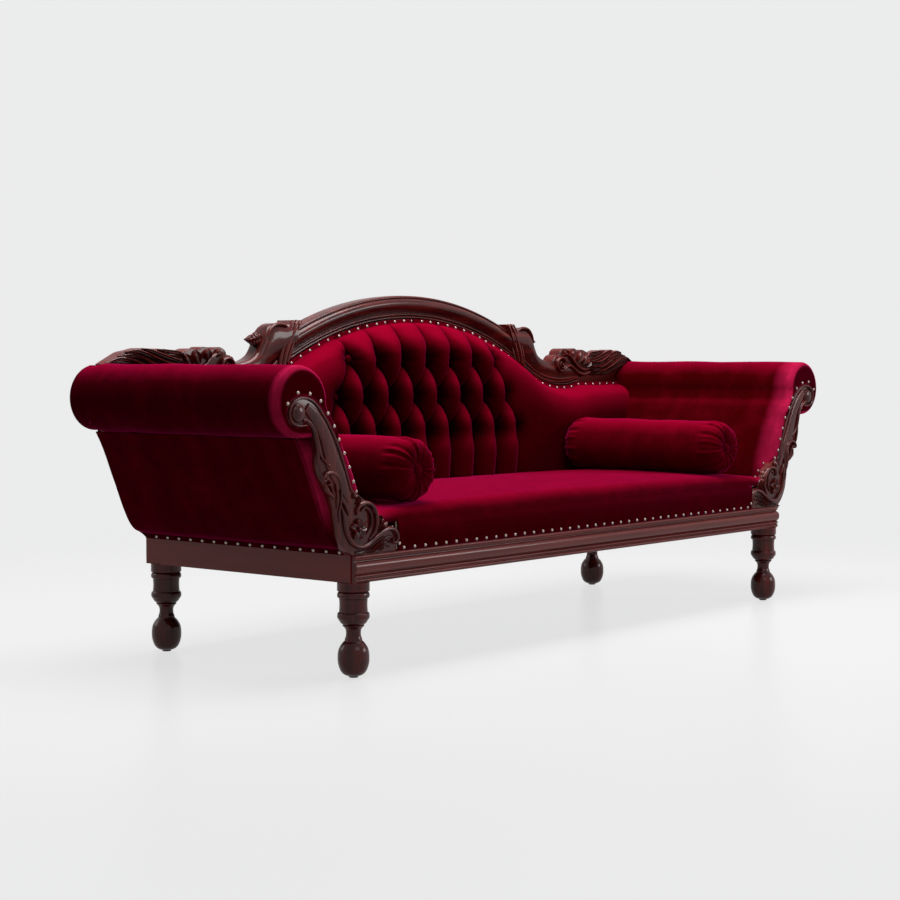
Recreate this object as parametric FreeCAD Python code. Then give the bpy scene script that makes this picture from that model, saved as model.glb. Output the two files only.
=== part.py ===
import FreeCAD, Part
import os
from math import asin, cos, degrees, hypot, pi, sin, sqrt

# Double-ended scroll-arm settee with a camel back, carved show-wood and deep-buttoned velvet.
# Millimetres. X runs along the seat, the front faces -Y and Z is up from the floor, where the
# origin lies under the middle of the seat. Sided pieces are drawn for +X and mirrored.

# Driving dimensions: overall frame
RAIL_HALF_LENGTH = 958.0      # middle of the seat to the outer face of a side rail
RAIL_FRONT = -338.0           # front face of the front rail, behind its applied moulding
RAIL_REAR = 356.0             # rear face of the rear rail
RAIL_UNDERSIDE = 222.0        # floor to the underside of the rails
RAIL_HEIGHT = 64.0
RAIL_THICK = 34.0
TENON_LENGTH = 20.0
TENON_THICK = 12.0
TENON_SHOULDER = 10.0         # wood left above and below a tenon
FIT_GAP = 0.3                 # clearance between pieces that are fitted or padded

# Legs and feet
LEG_X = 926.0
LEG_Y = 318.0
LEG_COLLAR = 76.0             # diameter of the square-edged collar under the rail
LEG_DRUM = 66.0
LEG_NECK = 35.0
LEG_BALL = 74.0
LEG_SIDES = 16                # flats that stand in for the round of the turning
CARVED_FLATS = 5              # cuts that stand in for each arc of a carved outline
LEG_DOWEL = 26.0
LEG_DOWEL_LENGTH = 40.0
GLIDE_DIAMETER = 22.0
GLIDE_HEIGHT = 3.0
CORNER_BLOCK = 92.0           # side of a corner block along each rail

# Front moulding
MOULDING_BACK = 11.0          # thickness behind the flat of the profile
MOULDING_HALF_LENGTH = 955.0

# Seat
WEB_WIDTH = 52.0
WEB_THICK = 2.0
WEB_LONG_COUNT = 6
WEB_CROSS_COUNT = 15
HESSIAN_THICK = 1.0
COVER_THICK = 2.5
SEAT_HALF_LENGTH = 914.0
SEAT_FRONT = -347.0
SEAT_REAR = 226.0
SEAT_NOSE_HEIGHT = 106.0      # rail top to the top of the rounded front edge
SEAT_CROWN = 11.0             # rise of the middle over the front edge
SEAT_NOSE_RADIUS = 48.0
STRETCHER_WIDTH = 45.0

# Arm: scroll roll and flare
ROLL_X = 1121.0
ROLL_Z = 642.0
ROLL_RADIUS = 82.0
ROLL_END_ROUND = 20.0         # rounding of the roll's front edge
ROLL_CORE = 56.0              # diameter of the wooden bar inside the roll
FACING_FRONT = -352.0
FACING_THICK = 28.0
POST_THICK = 24.0
PANEL_THICK = 5.0
PANEL_LAND = 13.0             # upright foot of the outside panel, where it is nailed
PAD_BORDER = 14.0             # velvet seen between an arm facing and the inside of the arm
SLAT_HEIGHT = 40.0
SLAT_THICK = 18.0

# Back
BACK_FRONT = 312.0            # front face of the back frame
BACK_REAR = 352.0             # rear face of the back frame
TUFT_PLANE = 250.0            # depth of the creases between the tufts
TUFT_PITCH = 105.0            # from button to button along a row
TUFT_ROW_HEIGHT = 102.5
TUFT_TOP_ROW = 734.0
TUFT_CROWN = 27.0             # how far a tuft swells in front of its creases
TOP_ROW_BUTTONS = 7
TUFT_ROWS = 3
BUTTON_DIAMETER = 20.0
BUTTON_HEIGHT = 7.0
WING_PLANE = 237.0            # front of the plain pads beside the tufts
TACK_LAND = 13.5              # flat margin where the velvet is nailed under the crest
TACK_PLANE = 303.0
BACK_PAD_FOOT = 292.0
STILE_WIDTH = 50.0
STILE_PLACES = (330.0, 700.0)

# Crest rail, drawn as the arch's lower edge and the hollow curve that follows it
ARCH_CENTRE_Z = -236.0
ARCH_RADIUS = 1085.0
HOLLOW_X = 735.0
HOLLOW_RADIUS = 372.0
CREST_BAND = 65.0             # height of the moulded band above its lower edge
CREST_REBATE = 14.0           # wood that runs down behind the velvet
SHOULDER_END = 1128.0
FINIAL_X = 588.0
FINIAL_Z = 786.0
FINIAL_LENGTH = 48.0
FINIAL_BASE = 38.0

# Nails
NAIL_WIDTH = 11.0
NAIL_HEIGHT = 2.6
NAIL_PITCH = 39.0
NAIL_MARGIN = 7.0             # edge of the wood to the middle of a nail
NAIL_SINK = 0.3               # depth a nail draws into the soft edge of a roll

# Bolsters
BOLSTER_X = 700.0
BOLSTER_DIAMETER = 157.0
BOLSTER_FRONT = -328.0
BOLSTER_REAR = 224.0
BOLSTER_END_ROUND = 46.0
BOLSTER_REST = 2.5            # depth of the flat where it lies on the seat
BOLSTER_SINK = 0.6            # give of the seat under its weight
BOLSTER_DIMPLE = 8.0
BOLSTER_BUTTON = 24.0
BOLSTER_SIDES = 24            # flats that stand in for the round of a bolster

# Derived heights and planes
RAIL_TOP = RAIL_UNDERSIDE + RAIL_HEIGHT
SIDE_RAIL_INSIDE = RAIL_HALF_LENGTH - RAIL_THICK
WEB_TOP = RAIL_TOP + 2 * WEB_THICK
WEB_FRONT = FACING_FRONT + FACING_THICK + 2
SEAT_FLOOR = WEB_TOP + HESSIAN_THICK
SEAT_EDGE_TOP = RAIL_TOP + SEAT_NOSE_HEIGHT
SEAT_END_TOP = SEAT_EDGE_TOP - 12.3
FACING_BACK = FACING_FRONT + FACING_THICK
ROLL_FRONT = FACING_FRONT + 6
CREST_CENTRE_Y = (BACK_FRONT + BACK_REAR) / 2


def v(x, y, z):
    return FreeCAD.Vector(x, y, z)


def save(name, shape):
    shape.exportStep(os.path.join("parts", name + ".step"))
    print(f"{name:28s} solids {len(shape.Solids):3d}  valid {shape.isValid()}  volume {shape.Volume:12.0f}")


def mirrored(shape):
    return shape.mirror(v(0, 0, 0), v(1, 0, 0))


def save_pair(name, right_shape):
    save(name + "_right", right_shape)
    save(name + "_left", mirrored(right_shape))


def run_of_edges(start, moves, place, flats=0):
    """Edges of an outline. A move is an end point, or a pair: the point an arc passes and its end.
    With flats, each arc is worked as that many short straight cuts."""
    edges = []
    here = place(*start)
    for move in moves:
        if isinstance(move[0], tuple):
            through, end = place(*move[0]), place(*move[1])
            arc = Part.Arc(here, through, end).toShape()
            if flats:
                stops = arc.discretize(flats + 1)
                edges += [Part.LineSegment(a, b).toShape() for a, b in zip(stops, stops[1:])]
            else:
                edges.append(arc)
        else:
            end = place(*move)
            edges.append(Part.LineSegment(here, end).toShape())
        here = end
    if (here - place(*start)).Length > 1e-6:
        edges.append(Part.LineSegment(here, place(*start)).toShape())
    return edges


def outline(start, moves, place, flats=0):
    """Closed wire of an outline."""
    return Part.Wire(run_of_edges(start, moves, place, flats))


def corners(start, moves, place, flats):
    """Corner points of an outline whose arcs are worked as short straight cuts."""
    return [edge.valueAt(edge.FirstParameter) for edge in run_of_edges(start, moves, place, flats)]


def flat_faces(points):
    """Flat faces through three or four points: one when they lie in a plane, otherwise two."""
    distinct = [p for p, q in zip(points, points[1:] + points[:1]) if (p - q).Length > 1e-6]
    if len(distinct) < 3:
        return []
    if len(distinct) == 4:
        a, b, c, d = distinct
        if abs((b - a).cross(c - a).dot(d - a)) > 1e-4 * (b - a).cross(c - a).Length:
            return [Part.Face(Part.makePolygon([a, b, c, a])), Part.Face(Part.makePolygon([a, c, d, a]))]
    return [Part.Face(Part.makePolygon(distinct + distinct[:1]))]


def panelled(rings):
    """Solid with flat panels from ring to ring of points, closed by a flat face at both ends."""
    faces = [Part.Face(Part.makePolygon(ring + ring[:1])) for ring in (rings[0], rings[-1])]
    for low, high in zip(rings, rings[1:]):
        for i in range(len(low)):
            faces += flat_faces([low[i - 1], low[i], high[i], high[i - 1]])
    solid = Part.makeSolid(Part.makeShell(faces))
    if solid.Volume < 0:
        solid.reverse()
    return solid


def round_ring(centre, axis, radius, sides):
    """Points of an even ring about an axis along X, Y or Z."""
    ring = []
    for k in range(sides):
        across, up = radius * cos(2 * pi * (k + 0.5) / sides), radius * sin(2 * pi * (k + 0.5) / sides)
        offset = {"X": v(0, across, up), "Y": v(across, 0, up), "Z": v(across, up, 0)}[axis]
        ring.append(v(*centre) + offset)
    return ring


SHARP_JOIN = 2                # a grown outline keeps its corners sharp


def upright_plate(start, moves, y_front, y_back, grow=0.0, flats=0):
    """Plate in the XZ plane between two depths, its outline grown by a clearance."""
    wire = outline(start, moves, lambda a, b: v(a, y_front, b), flats)
    if grow:
        wire = wire.makeOffset2D(grow, SHARP_JOIN) if flats else wire.makeOffset2D(grow)
    return Part.Face(wire).extrude(v(0, y_back - y_front, 0))


def long_bar(start, moves, x_low, x_high):
    """Bar along X with its section drawn in the YZ plane."""
    wire = outline(start, moves, lambda a, b: v(x_low, a, b))
    return Part.Face(wire).extrude(v(x_high - x_low, 0, 0))


def box(x0, x1, y0, y1, z0, z1):
    return Part.makeBox(x1 - x0, y1 - y0, z1 - z0, v(x0, y0, z0))


def rod(x, y, z, axis, diameter, length):
    return Part.makeCylinder(diameter / 2, length, v(x, y, z), axis)


def faceted_bore(start, axis, diameter, length, sides=12):
    """Even-sided hole whose flats touch the stated diameter."""
    step = {"X": (length, 0, 0), "Y": (0, length, 0), "Z": (0, 0, length)}[axis]
    far = tuple(a + b for a, b in zip(start, step))
    radius = diameter / 2 / cos(pi / sides)
    return panelled([round_ring(end, axis, radius, sides) for end in (start, far)])


def fused(shapes):
    first, *rest = shapes
    return first.multiFuse(rest).removeSplitter()


# Edge curve of the crest: the arch's lower edge, then the hollow that dips beside it
def hollow_centre_height():
    """Height of the hollow's centre, so that it leaves the arch without a kink."""
    reach = ARCH_RADIUS + HOLLOW_RADIUS
    return ARCH_CENTRE_Z + sqrt(reach ** 2 - HOLLOW_X ** 2)


HOLLOW_CENTRE_Z = hollow_centre_height()
HOLLOW_LOW = HOLLOW_CENTRE_Z - HOLLOW_RADIUS
TURN_ANGLE = asin(HOLLOW_X / (ARCH_RADIUS + HOLLOW_RADIUS))
TURN_X = ARCH_RADIUS * sin(TURN_ANGLE)
BOARD_START = 690.0           # the broad moulding stops here, under the carved scroll
BEAD_END = 822.0
TAIL_LOW = HOLLOW_CENTRE_Z - sqrt(HOLLOW_RADIUS ** 2 - (BEAD_END - HOLLOW_X) ** 2)
HOLLOW_GAP = 1.8              # room left by a pad's straight-sided panels along the hollow


def crest_edge(x):
    """Height of the crest's lower show edge at a distance from the middle."""
    x = abs(x)
    if x <= TURN_X:
        return ARCH_CENTRE_Z + sqrt(ARCH_RADIUS ** 2 - x ** 2)
    if x < BEAD_END:
        return HOLLOW_CENTRE_Z - sqrt(HOLLOW_RADIUS ** 2 - (x - HOLLOW_X) ** 2)
    return TAIL_LOW


# Arm outlines
def arm_pad_outline(grow):
    """Inside arm padding and roll in the XZ plane, grown outwards by a clearance."""
    radius = ROLL_RADIUS + grow
    foot = BACK_PAD_FOOT - grow
    inner = 918.0 - grow
    waist = (ROLL_X - radius, ROLL_Z)
    start = (inner, foot)
    slant = radius * sin(pi / 4)
    return start, [
        (inner + 2, 392.0),
        ((962.0 - grow, 500.0), (1018.0 - grow, 597.0)),
        ((1034.5 - grow, 618.0), waist),
        ((ROLL_X - slant, ROLL_Z + slant), (ROLL_X, ROLL_Z + radius)),
        ((ROLL_X + slant, ROLL_Z + slant), (ROLL_X + radius, ROLL_Z)),
        ((ROLL_X + slant, ROLL_Z - slant), (ROLL_X, ROLL_Z - radius)),
        (1078.0 + grow, ROLL_Z - radius),
        ((1012.0 + grow, 470.0), (978.0 + grow, 380.0)),
        (950.0 + grow, 312.0),
        (950.0 + grow, foot),
    ]


def panel_line(inset):
    """Outer face of the flared outside panel, moved inwards by a distance."""
    top = (ROLL_X - 5.0 - 0.92 * inset, ROLL_Z - ROLL_RADIUS - FIT_GAP - 2.0 + 0.39 * inset)
    knee = (1024.0 - 0.92 * inset, 345.0 + 0.39 * inset)
    bend = (1000.0 - 0.7 * inset, 315.0 + 0.7 * inset)
    land = (RAIL_HALF_LENGTH + 3.0 - inset, RAIL_TOP + PANEL_LAND + 0.4 * inset)
    foot = (land[0], RAIL_TOP)
    return top, knee, bend, land, foot


FACING_START = (806.0, RAIL_TOP)
FACING_MOVES = [
    (806.0, 330.0),
    ((820.0, 345.0), (841.0, 345.0)),
    ((846.0, 362.0), (862.0, 372.0)),
    ((879.0, 377.0), (890.0, 394.0)),
    ((914.0, 409.0), (944.0, 428.0)),
    (955.0, 427.0),
    ((993.0, 520.0), (1050.0, 612.0)),
    ((1082.0, 644.0), (1122.0, 655.0)),
    ((1157.0, 646.0), (1171.0, 618.0)),
    ((1163.0, 594.0), (1138.0, 586.0)),
    (1114.0, 596.0),
    ((1086.0, 571.0), (1073.0, 530.0)),
    ((1075.0, 492.0), (1060.0, 466.0)),
    ((1033.0, 428.0), (1017.0, 392.0)),
    ((1007.0, 338.0), (984.0, 304.0)),
    (960.0, RAIL_TOP),
]


def make_legs():
    """Turned legs: ball foot, neck, flared collar, drum, bead and a dowel into the corner block."""
    top = RAIL_UNDERSIDE
    ball = LEG_BALL / 2
    neck = LEG_NECK / 2
    collar = LEG_COLLAR / 2
    drum = LEG_DRUM / 2
    glide = GLIDE_DIAMETER / 2
    ball_middle = 50.0
    profile = [
        (glide, GLIDE_HEIGHT), (ball * 0.80, GLIDE_HEIGHT + 15), (ball, ball_middle - 7), (ball, ball_middle + 7),
        (ball * 0.78, ball_middle + 24), (neck + 1, top - 138), (neck, top - 118), (neck + 9, top - 103),
        (collar - 4, top - 92), (collar - 1, top - 78), (drum, top - 68), (drum, top - 37), (collar, top - 32),
        (collar, top - 24), (collar - 4, top - 20), (collar, top - 17), (collar, top),
    ]
    turning = panelled([round_ring((0, 0, z), "Z", r, LEG_SIDES) for r, z in profile])
    leg = turning.fuse(rod(0, 0, top, v(0, 0, 1), LEG_DOWEL, LEG_DOWEL_LENGTH))
    foot = panelled([round_ring((0, 0, z), "Z", glide, 12) for z in (0.0, GLIDE_HEIGHT)])
    glides = []
    for depth, y in (("front", -LEG_Y), ("rear", LEG_Y)):
        save(f"legs_{depth}", Part.makeCompound([leg.translated(v(x, y, 0)) for x in (-LEG_X, LEG_X)]))
        glides += [foot.translated(v(x, y, 0)) for x in (-LEG_X, LEG_X)]
    save("foot_glides", Part.makeCompound(glides))


def dowel_bores():
    """Bores for the four leg dowels."""
    width = LEG_DOWEL + 2 * FIT_GAP
    depth = LEG_DOWEL_LENGTH + 1
    places = [(x, y) for x in (-LEG_X, LEG_X) for y in (-LEG_Y, LEG_Y)]
    return [rod(x, y, RAIL_UNDERSIDE - 1, v(0, 0, 1), width, depth + 1) for x, y in places]


def make_rails():
    """Mortised side rails, tenoned front and rear rails, corner blocks and seat stretchers."""
    bores = dowel_bores()
    tenon_low = RAIL_UNDERSIDE + TENON_SHOULDER
    tenon_high = RAIL_TOP - TENON_SHOULDER
    long_rails = {}
    for name, y0, y1 in (("front_rail", RAIL_FRONT, RAIL_FRONT + RAIL_THICK),
                         ("rear_rail", RAIL_REAR - RAIL_THICK, RAIL_REAR)):
        middle = (y0 + y1) / 2
        body = box(-SIDE_RAIL_INSIDE, SIDE_RAIL_INSIDE, y0, y1, RAIL_UNDERSIDE, RAIL_TOP)
        reach = SIDE_RAIL_INSIDE + TENON_LENGTH
        tenon = box(-reach, reach, middle - TENON_THICK / 2, middle + TENON_THICK / 2, tenon_low, tenon_high)
        long_rails[name] = (body, tenon)
        save(name, body.fuse(tenon).cut(Part.makeCompound(bores)))
    tenons = Part.makeCompound([tenon for _, tenon in long_rails.values()])
    side = box(SIDE_RAIL_INSIDE, RAIL_HALF_LENGTH, RAIL_FRONT, RAIL_REAR, RAIL_UNDERSIDE, RAIL_TOP)
    save_pair("side_rail", side.cut(tenons).cut(Part.makeCompound(bores)))

    blocks = []
    inner_front = RAIL_FRONT + RAIL_THICK
    inner_rear = RAIL_REAR - RAIL_THICK
    block_top = RAIL_TOP - 14
    for y, toward in ((inner_front, 1), (inner_rear, -1)):
        for side in (-1, 1):
            x = side * SIDE_RAIL_INSIDE
            corner = [v(x, y, RAIL_UNDERSIDE), v(x - side * CORNER_BLOCK, y, RAIL_UNDERSIDE),
                      v(x - side * 20, y + toward * (CORNER_BLOCK - 12), RAIL_UNDERSIDE),
                      v(x, y + toward * (CORNER_BLOCK - 12), RAIL_UNDERSIDE)]
            wire = Part.makePolygon(corner + corner[:1])
            block = Part.Face(wire).extrude(v(0, 0, block_top - RAIL_UNDERSIDE))
            blocks.append(block.cut(Part.makeCompound(bores)))
    save("corner_blocks", Part.makeCompound(blocks))

    stretchers = []
    for x in (-RAIL_HALF_LENGTH / 3, RAIL_HALF_LENGTH / 3):
        stretchers.append(box(x - STRETCHER_WIDTH / 2, x + STRETCHER_WIDTH / 2, inner_front, inner_rear,
                              RAIL_UNDERSIDE + 6, RAIL_TOP - 18))
    save("seat_stretchers", Part.makeCompound(stretchers))


def make_front_moulding():
    """Run moulding on the front rail: two small beads, a broad half round and a top bead."""
    flat = RAIL_FRONT - MOULDING_BACK
    z = RAIL_UNDERSIDE
    section = [
        (flat, z), (flat, z + 3), ((flat - 3, z + 6), (flat, z + 9)), (flat + 1, z + 10.5),
        (flat, z + 12), ((flat - 3, z + 15), (flat, z + 18)), (flat + 1, z + 19.5),
        ((flat - 6.6, z + 37), (flat + 1, z + 48)), (flat + 3, z + 49), (flat + 3, z + 52), (flat, z + 53),
        (flat, z + 57), ((flat - 4, z + 60.5), (flat, RAIL_TOP)), (RAIL_FRONT, RAIL_TOP),
    ]
    save("front_moulding", long_bar((RAIL_FRONT, z), section, -MOULDING_HALF_LENGTH, MOULDING_HALF_LENGTH))


def seat_section(x, inset):
    """Section of the seat across its depth, drawn in where the seat meets the arms."""
    share = min(1.0, abs(x) / SEAT_HALF_LENGTH)
    drop = 14.0 * share ** 6 + 4.0 * share ** 2
    top = SEAT_EDGE_TOP - drop - inset
    crown = top + SEAT_CROWN * (1 - 0.6 * share ** 2)
    front = SEAT_FRONT + inset
    rear = SEAT_REAR - inset
    nose = SEAT_NOSE_RADIUS * (1 - 0.6 * share ** 6)
    lip = RAIL_TOP + FIT_GAP if inset == 0 else SEAT_FLOOR
    bend = nose * (1 - cos(pi / 4))
    middle = (front + nose + rear) / 2
    start = (RAIL_FRONT + 4, SEAT_FLOOR)
    moves = [
        (RAIL_FRONT + 4, lip), (front, lip), (front, top - nose),
        ((front + bend, top - bend), (front + nose, top)),
        ((middle, crown), (rear - 14, top + 2)),
        ((rear - 4, top - 2), (rear, top - 12)), (rear, SEAT_FLOOR),
    ]
    if inset:
        start = (front, SEAT_FLOOR)
        moves = moves[2:]
    return corners(start, moves, lambda a, b: v(x, a, b), 4)


def make_seat():
    """Jute webbing, hessian, padding and a velvet cover with a rolled front edge."""
    long_strips = []
    half = RAIL_HALF_LENGTH - 14
    span = (RAIL_REAR - RAIL_THICK) - (RAIL_FRONT + RAIL_THICK)
    for i in range(WEB_LONG_COUNT):
        y = RAIL_FRONT + RAIL_THICK + span * (i + 0.5) / WEB_LONG_COUNT
        long_strips.append(box(-half, half, y - WEB_WIDTH / 2, y + WEB_WIDTH / 2, RAIL_TOP, RAIL_TOP + WEB_THICK))
    save("seat_webbing_long", Part.makeCompound(long_strips))
    cross_strips = []
    for i in range(WEB_CROSS_COUNT):
        x = 2 * SEAT_HALF_LENGTH * ((i + 0.5) / WEB_CROSS_COUNT - 0.5)
        cross_strips.append(box(x - WEB_WIDTH / 2, x + WEB_WIDTH / 2, WEB_FRONT, BACK_FRONT + 16,
                                RAIL_TOP + WEB_THICK, WEB_TOP))
    save("seat_webbing_cross", Part.makeCompound(cross_strips))
    save("seat_hessian", box(-SEAT_HALF_LENGTH + 2, SEAT_HALF_LENGTH - 2, WEB_FRONT, SEAT_REAR, WEB_TOP,
                             SEAT_FLOOR))

    stations = [-1.0, -0.92, -0.8, -0.6, -0.3, 0.0, 0.3, 0.6, 0.8, 0.92, 1.0]
    outer = panelled([seat_section(s * SEAT_HALF_LENGTH, 0) for s in stations])
    inner_half = SEAT_HALF_LENGTH - COVER_THICK
    inner = panelled([seat_section(s * inner_half, COVER_THICK) for s in stations])
    corners = []
    for low, high in ((-RAIL_HALF_LENGTH, -FACING_START[0] + 2), (FACING_START[0] - 2, RAIL_HALF_LENGTH)):
        corners.append(box(low, high, SEAT_FRONT - 20, FACING_BACK + FIT_GAP, RAIL_TOP - 1, SEAT_EDGE_TOP + 60))
    inner_corners = [c.translated(v(0, COVER_THICK, 0)) for c in corners]
    pad = inner.cut(Part.makeCompound(inner_corners))
    save("seat_padding", pad)
    save("seat_cover", outer.cut(Part.makeCompound(corners)).cut(pad))


def make_dust_cover():
    """Thin cloth under the rails, cut round the tops of the legs."""
    edge_x = RAIL_HALF_LENGTH - 12
    front, rear = RAIL_FRONT + 12, RAIL_REAR - 12
    sheet = box(-edge_x, edge_x, front, rear, RAIL_UNDERSIDE - 1, RAIL_UNDERSIDE)
    notches = []
    for x in (-LEG_X, LEG_X):
        for y in (-LEG_Y, LEG_Y):
            notches.append(box(x - 46, x + 46, y - 46, y + 46, RAIL_UNDERSIDE - 2, RAIL_UNDERSIDE + 1))
    save("dust_cover", sheet.cut(Part.makeCompound(notches)))


def post_plate(y_front, y_back, grow=0.0):
    """Shaped board that carries an arm: foot on the rails, flared stem and a round head."""
    top, knee, bend, land, foot = panel_line(PANEL_THICK + FIT_GAP)
    head = ROLL_CORE / 2 + 15
    start = (924.0, RAIL_TOP)
    moves = [
        (924.0, 330.0), (958.0, 420.0), (1000.0, 500.0), (ROLL_X - head, ROLL_Z),
        ((ROLL_X - head * sin(pi / 4), ROLL_Z + head * sin(pi / 4)), (ROLL_X, ROLL_Z + head)),
        ((ROLL_X + head * sin(pi / 4), ROLL_Z + head * sin(pi / 4)), (ROLL_X + head, ROLL_Z)),
        ((ROLL_X + head * sin(pi / 4), ROLL_Z - head * sin(pi / 4)), (ROLL_X + 8, ROLL_Z - head + 1)),
        (top[0] - 4, top[1] + 14), (top[0] - 4, top[1]), knee, (bend, land), foot,
    ]
    return upright_plate(start, moves, y_front, y_back, grow)


def make_arms(shoulder):
    """Arm frames, padding with the scrolled roll, flared outside panel and carved facing."""
    front_post = post_plate(FACING_BACK, FACING_BACK + POST_THICK)
    rear_post = max(post_plate(BACK_FRONT, BACK_REAR).cut(shoulder).Solids, key=lambda s: s.Volume)
    core_length = BACK_FRONT - (FACING_BACK + POST_THICK)
    core = rod(ROLL_X, FACING_BACK + POST_THICK, ROLL_Z, v(0, 1, 0), ROLL_CORE, core_length)
    slat_x = 1003.0
    slat_z = 400.0
    slat = box(slat_x, slat_x + SLAT_THICK, FACING_BACK + POST_THICK, BACK_FRONT, slat_z, slat_z + SLAT_HEIGHT)
    save_pair("arm_front_post", front_post)
    save_pair("arm_rear_post", rear_post)
    save_pair("arm_roll_bar", core)
    save_pair("arm_slat", slat)

    facing = upright_plate(FACING_START, FACING_MOVES, FACING_FRONT, FACING_BACK, flats=CARVED_FLATS)
    raised = FACING_FRONT - 4
    boss = panelled([round_ring((1137, y, 619), "Y", 22, 16) for y in (raised, FACING_FRONT + 1)])
    rosette = panelled([round_ring((942, y, 347), "Y", 30, 16) for y in (raised, FACING_FRONT + 1)])
    save_pair("arm_facing", fused([facing, boss, rosette]))

    start, moves = arm_pad_outline(0)
    sleeve = upright_plate(start, moves, FACING_BACK + FIT_GAP, BACK_FRONT - FIT_GAP)
    tip = ROLL_FRONT
    rounding = ROLL_END_ROUND
    end_profile = [
        (ROLL_RADIUS, FACING_BACK + FIT_GAP), (ROLL_RADIUS, tip + rounding),
        ((ROLL_RADIUS - rounding * (1 - cos(pi / 4)), tip + rounding * (1 - sin(pi / 4))),
         (ROLL_RADIUS - rounding, tip)),
        (0.0, tip),
    ]
    end_wire = outline((0.0, FACING_BACK + FIT_GAP), end_profile, lambda r, y: v(ROLL_X + r, y, ROLL_Z), 2)
    roll_end = Part.Face(end_wire).revolve(v(ROLL_X, 0, ROLL_Z), v(0, 1, 0), 360)
    below = box(ROLL_X - 200, ROLL_X + 200, FACING_FRONT - 20, FACING_BACK + 5, RAIL_TOP, ROLL_Z - ROLL_RADIUS + 1)
    pad = sleeve.fuse(roll_end).cut(below.common(roll_end)).removeSplitter()
    bore = faceted_bore((ROLL_X, FACING_BACK, ROLL_Z), "Y", ROLL_CORE + 2 * FIT_GAP, BACK_FRONT - FACING_BACK)
    facing_room = upright_plate(FACING_START, FACING_MOVES, FACING_FRONT, FACING_BACK + FIT_GAP, FIT_GAP,
                                CARVED_FLATS)
    post_room = post_plate(FACING_BACK, FACING_BACK + POST_THICK + FIT_GAP, FIT_GAP)
    border = upright_plate(FACING_START, FACING_MOVES, FACING_BACK + FIT_GAP, FACING_BACK + 14, PAD_BORDER,
                           CARVED_FLATS)
    border = border.common(box(852, 1050, FACING_FRONT, 0, SEAT_END_TOP, 560))
    pad = pad.cut(facing_room).fuse(border).cut(post_room).cut(bore).removeSplitter()
    save_pair("arm_pad", pad)

    top, knee, bend, land, foot = panel_line(0)
    top_in, knee_in, bend_in, land_in, foot_in = panel_line(PANEL_THICK)
    panel_moves = [knee, (bend, land), foot, foot_in, land_in, (bend_in, knee_in), top_in]
    save_pair("arm_outside_panel", upright_plate(top, panel_moves, FACING_BACK + FIT_GAP, BACK_REAR))


# Back: heights and half widths of the buttoned field
def button_rows():
    """Rows of buttons from the top down: height and the places along X."""
    rows = []
    for i in range(TUFT_ROWS):
        count = TOP_ROW_BUTTONS + i
        height = TUFT_TOP_ROW - i * TUFT_ROW_HEIGHT
        rows.append((height, [(k - (count - 1) / 2) * TUFT_PITCH for k in range(count)]))
    return rows


def field_outline(grow):
    """Edge of the buttoned field through the end buttons, from under the seat to the crest."""
    rows = button_rows()
    ends = [(places[-1] + grow, height) for height, places in rows]
    top = ARCH_CENTRE_Z + ARCH_RADIUS + 30
    right = [(ends[-1][0], BACK_PAD_FOOT - 5)] + ends[::-1] + [(ends[0][0], top)]
    left = [(-x, z) for x, z in right[::-1]]
    return right[0], right[1:] + left


ROLL_BACK_HEIGHT = 88.0       # height over which a pad rolls back to the crest


def roll_back_radius(plane):
    """Radius of the arc that leads from a pad's front to the nailed margin."""
    depth = TACK_PLANE - plane
    return (depth ** 2 + ROLL_BACK_HEIGHT ** 2) / (2 * depth)


def pad_top(x):
    """Height of a pad's top edge under the crest."""
    return crest_edge(x) - (FIT_GAP if abs(x) < TURN_X - 10 else HOLLOW_GAP)


def tack_land(x):
    """Upright height of the nailed margin, which follows the slope of the crest."""
    slope = (crest_edge(x + 5) - crest_edge(x - 5)) / 10
    return TACK_LAND * hypot(1, slope)


def pad_front(z, x, plane):
    """Depth of a pad's front at a height, following its roll back to the crest."""
    start = pad_top(x) - tack_land(x) - ROLL_BACK_HEIGHT
    if z <= start:
        return plane
    radius = roll_back_radius(plane)
    rise = min(z - start, ROLL_BACK_HEIGHT)
    return plane + radius - sqrt(radius ** 2 - rise ** 2)


def pad_section(x, plane):
    """Section of a back pad: upright front, roll back to the crest and a nailed margin."""
    top = pad_top(x)
    rear = BACK_FRONT - WEB_THICK - FIT_GAP
    start_roll = top - tack_land(x) - ROLL_BACK_HEIGHT
    middle = start_roll + ROLL_BACK_HEIGHT * 0.6
    return corners((rear, BACK_PAD_FOOT), [
        (plane, BACK_PAD_FOOT), (plane, start_roll),
        ((pad_front(middle, x, plane), middle), (TACK_PLANE, top - tack_land(x))),
        (TACK_PLANE, top), (rear, top),
    ], lambda a, b: v(x, a, b), 4)


def stub(x, z, y_low, y_high, low_radius, high_radius):
    """Six-sided stub along Y, straight or tapered."""
    return panelled([round_ring((x, y_low, z), "Y", low_radius, 6), round_ring((x, y_high, z), "Y", high_radius, 6)])


def tuft(x, stations):
    """One swelling between creases, lofted up through lens-shaped level sections."""
    sink = 2.0
    rings = []
    for z, half, swell, plane in stations:
        back = plane + sink
        arc = ((x, plane - swell), (x + half, back))
        rings.append(corners((x - half, back), [arc], lambda a, b: v(a, b, z), 3))
    return panelled(rings)


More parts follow.
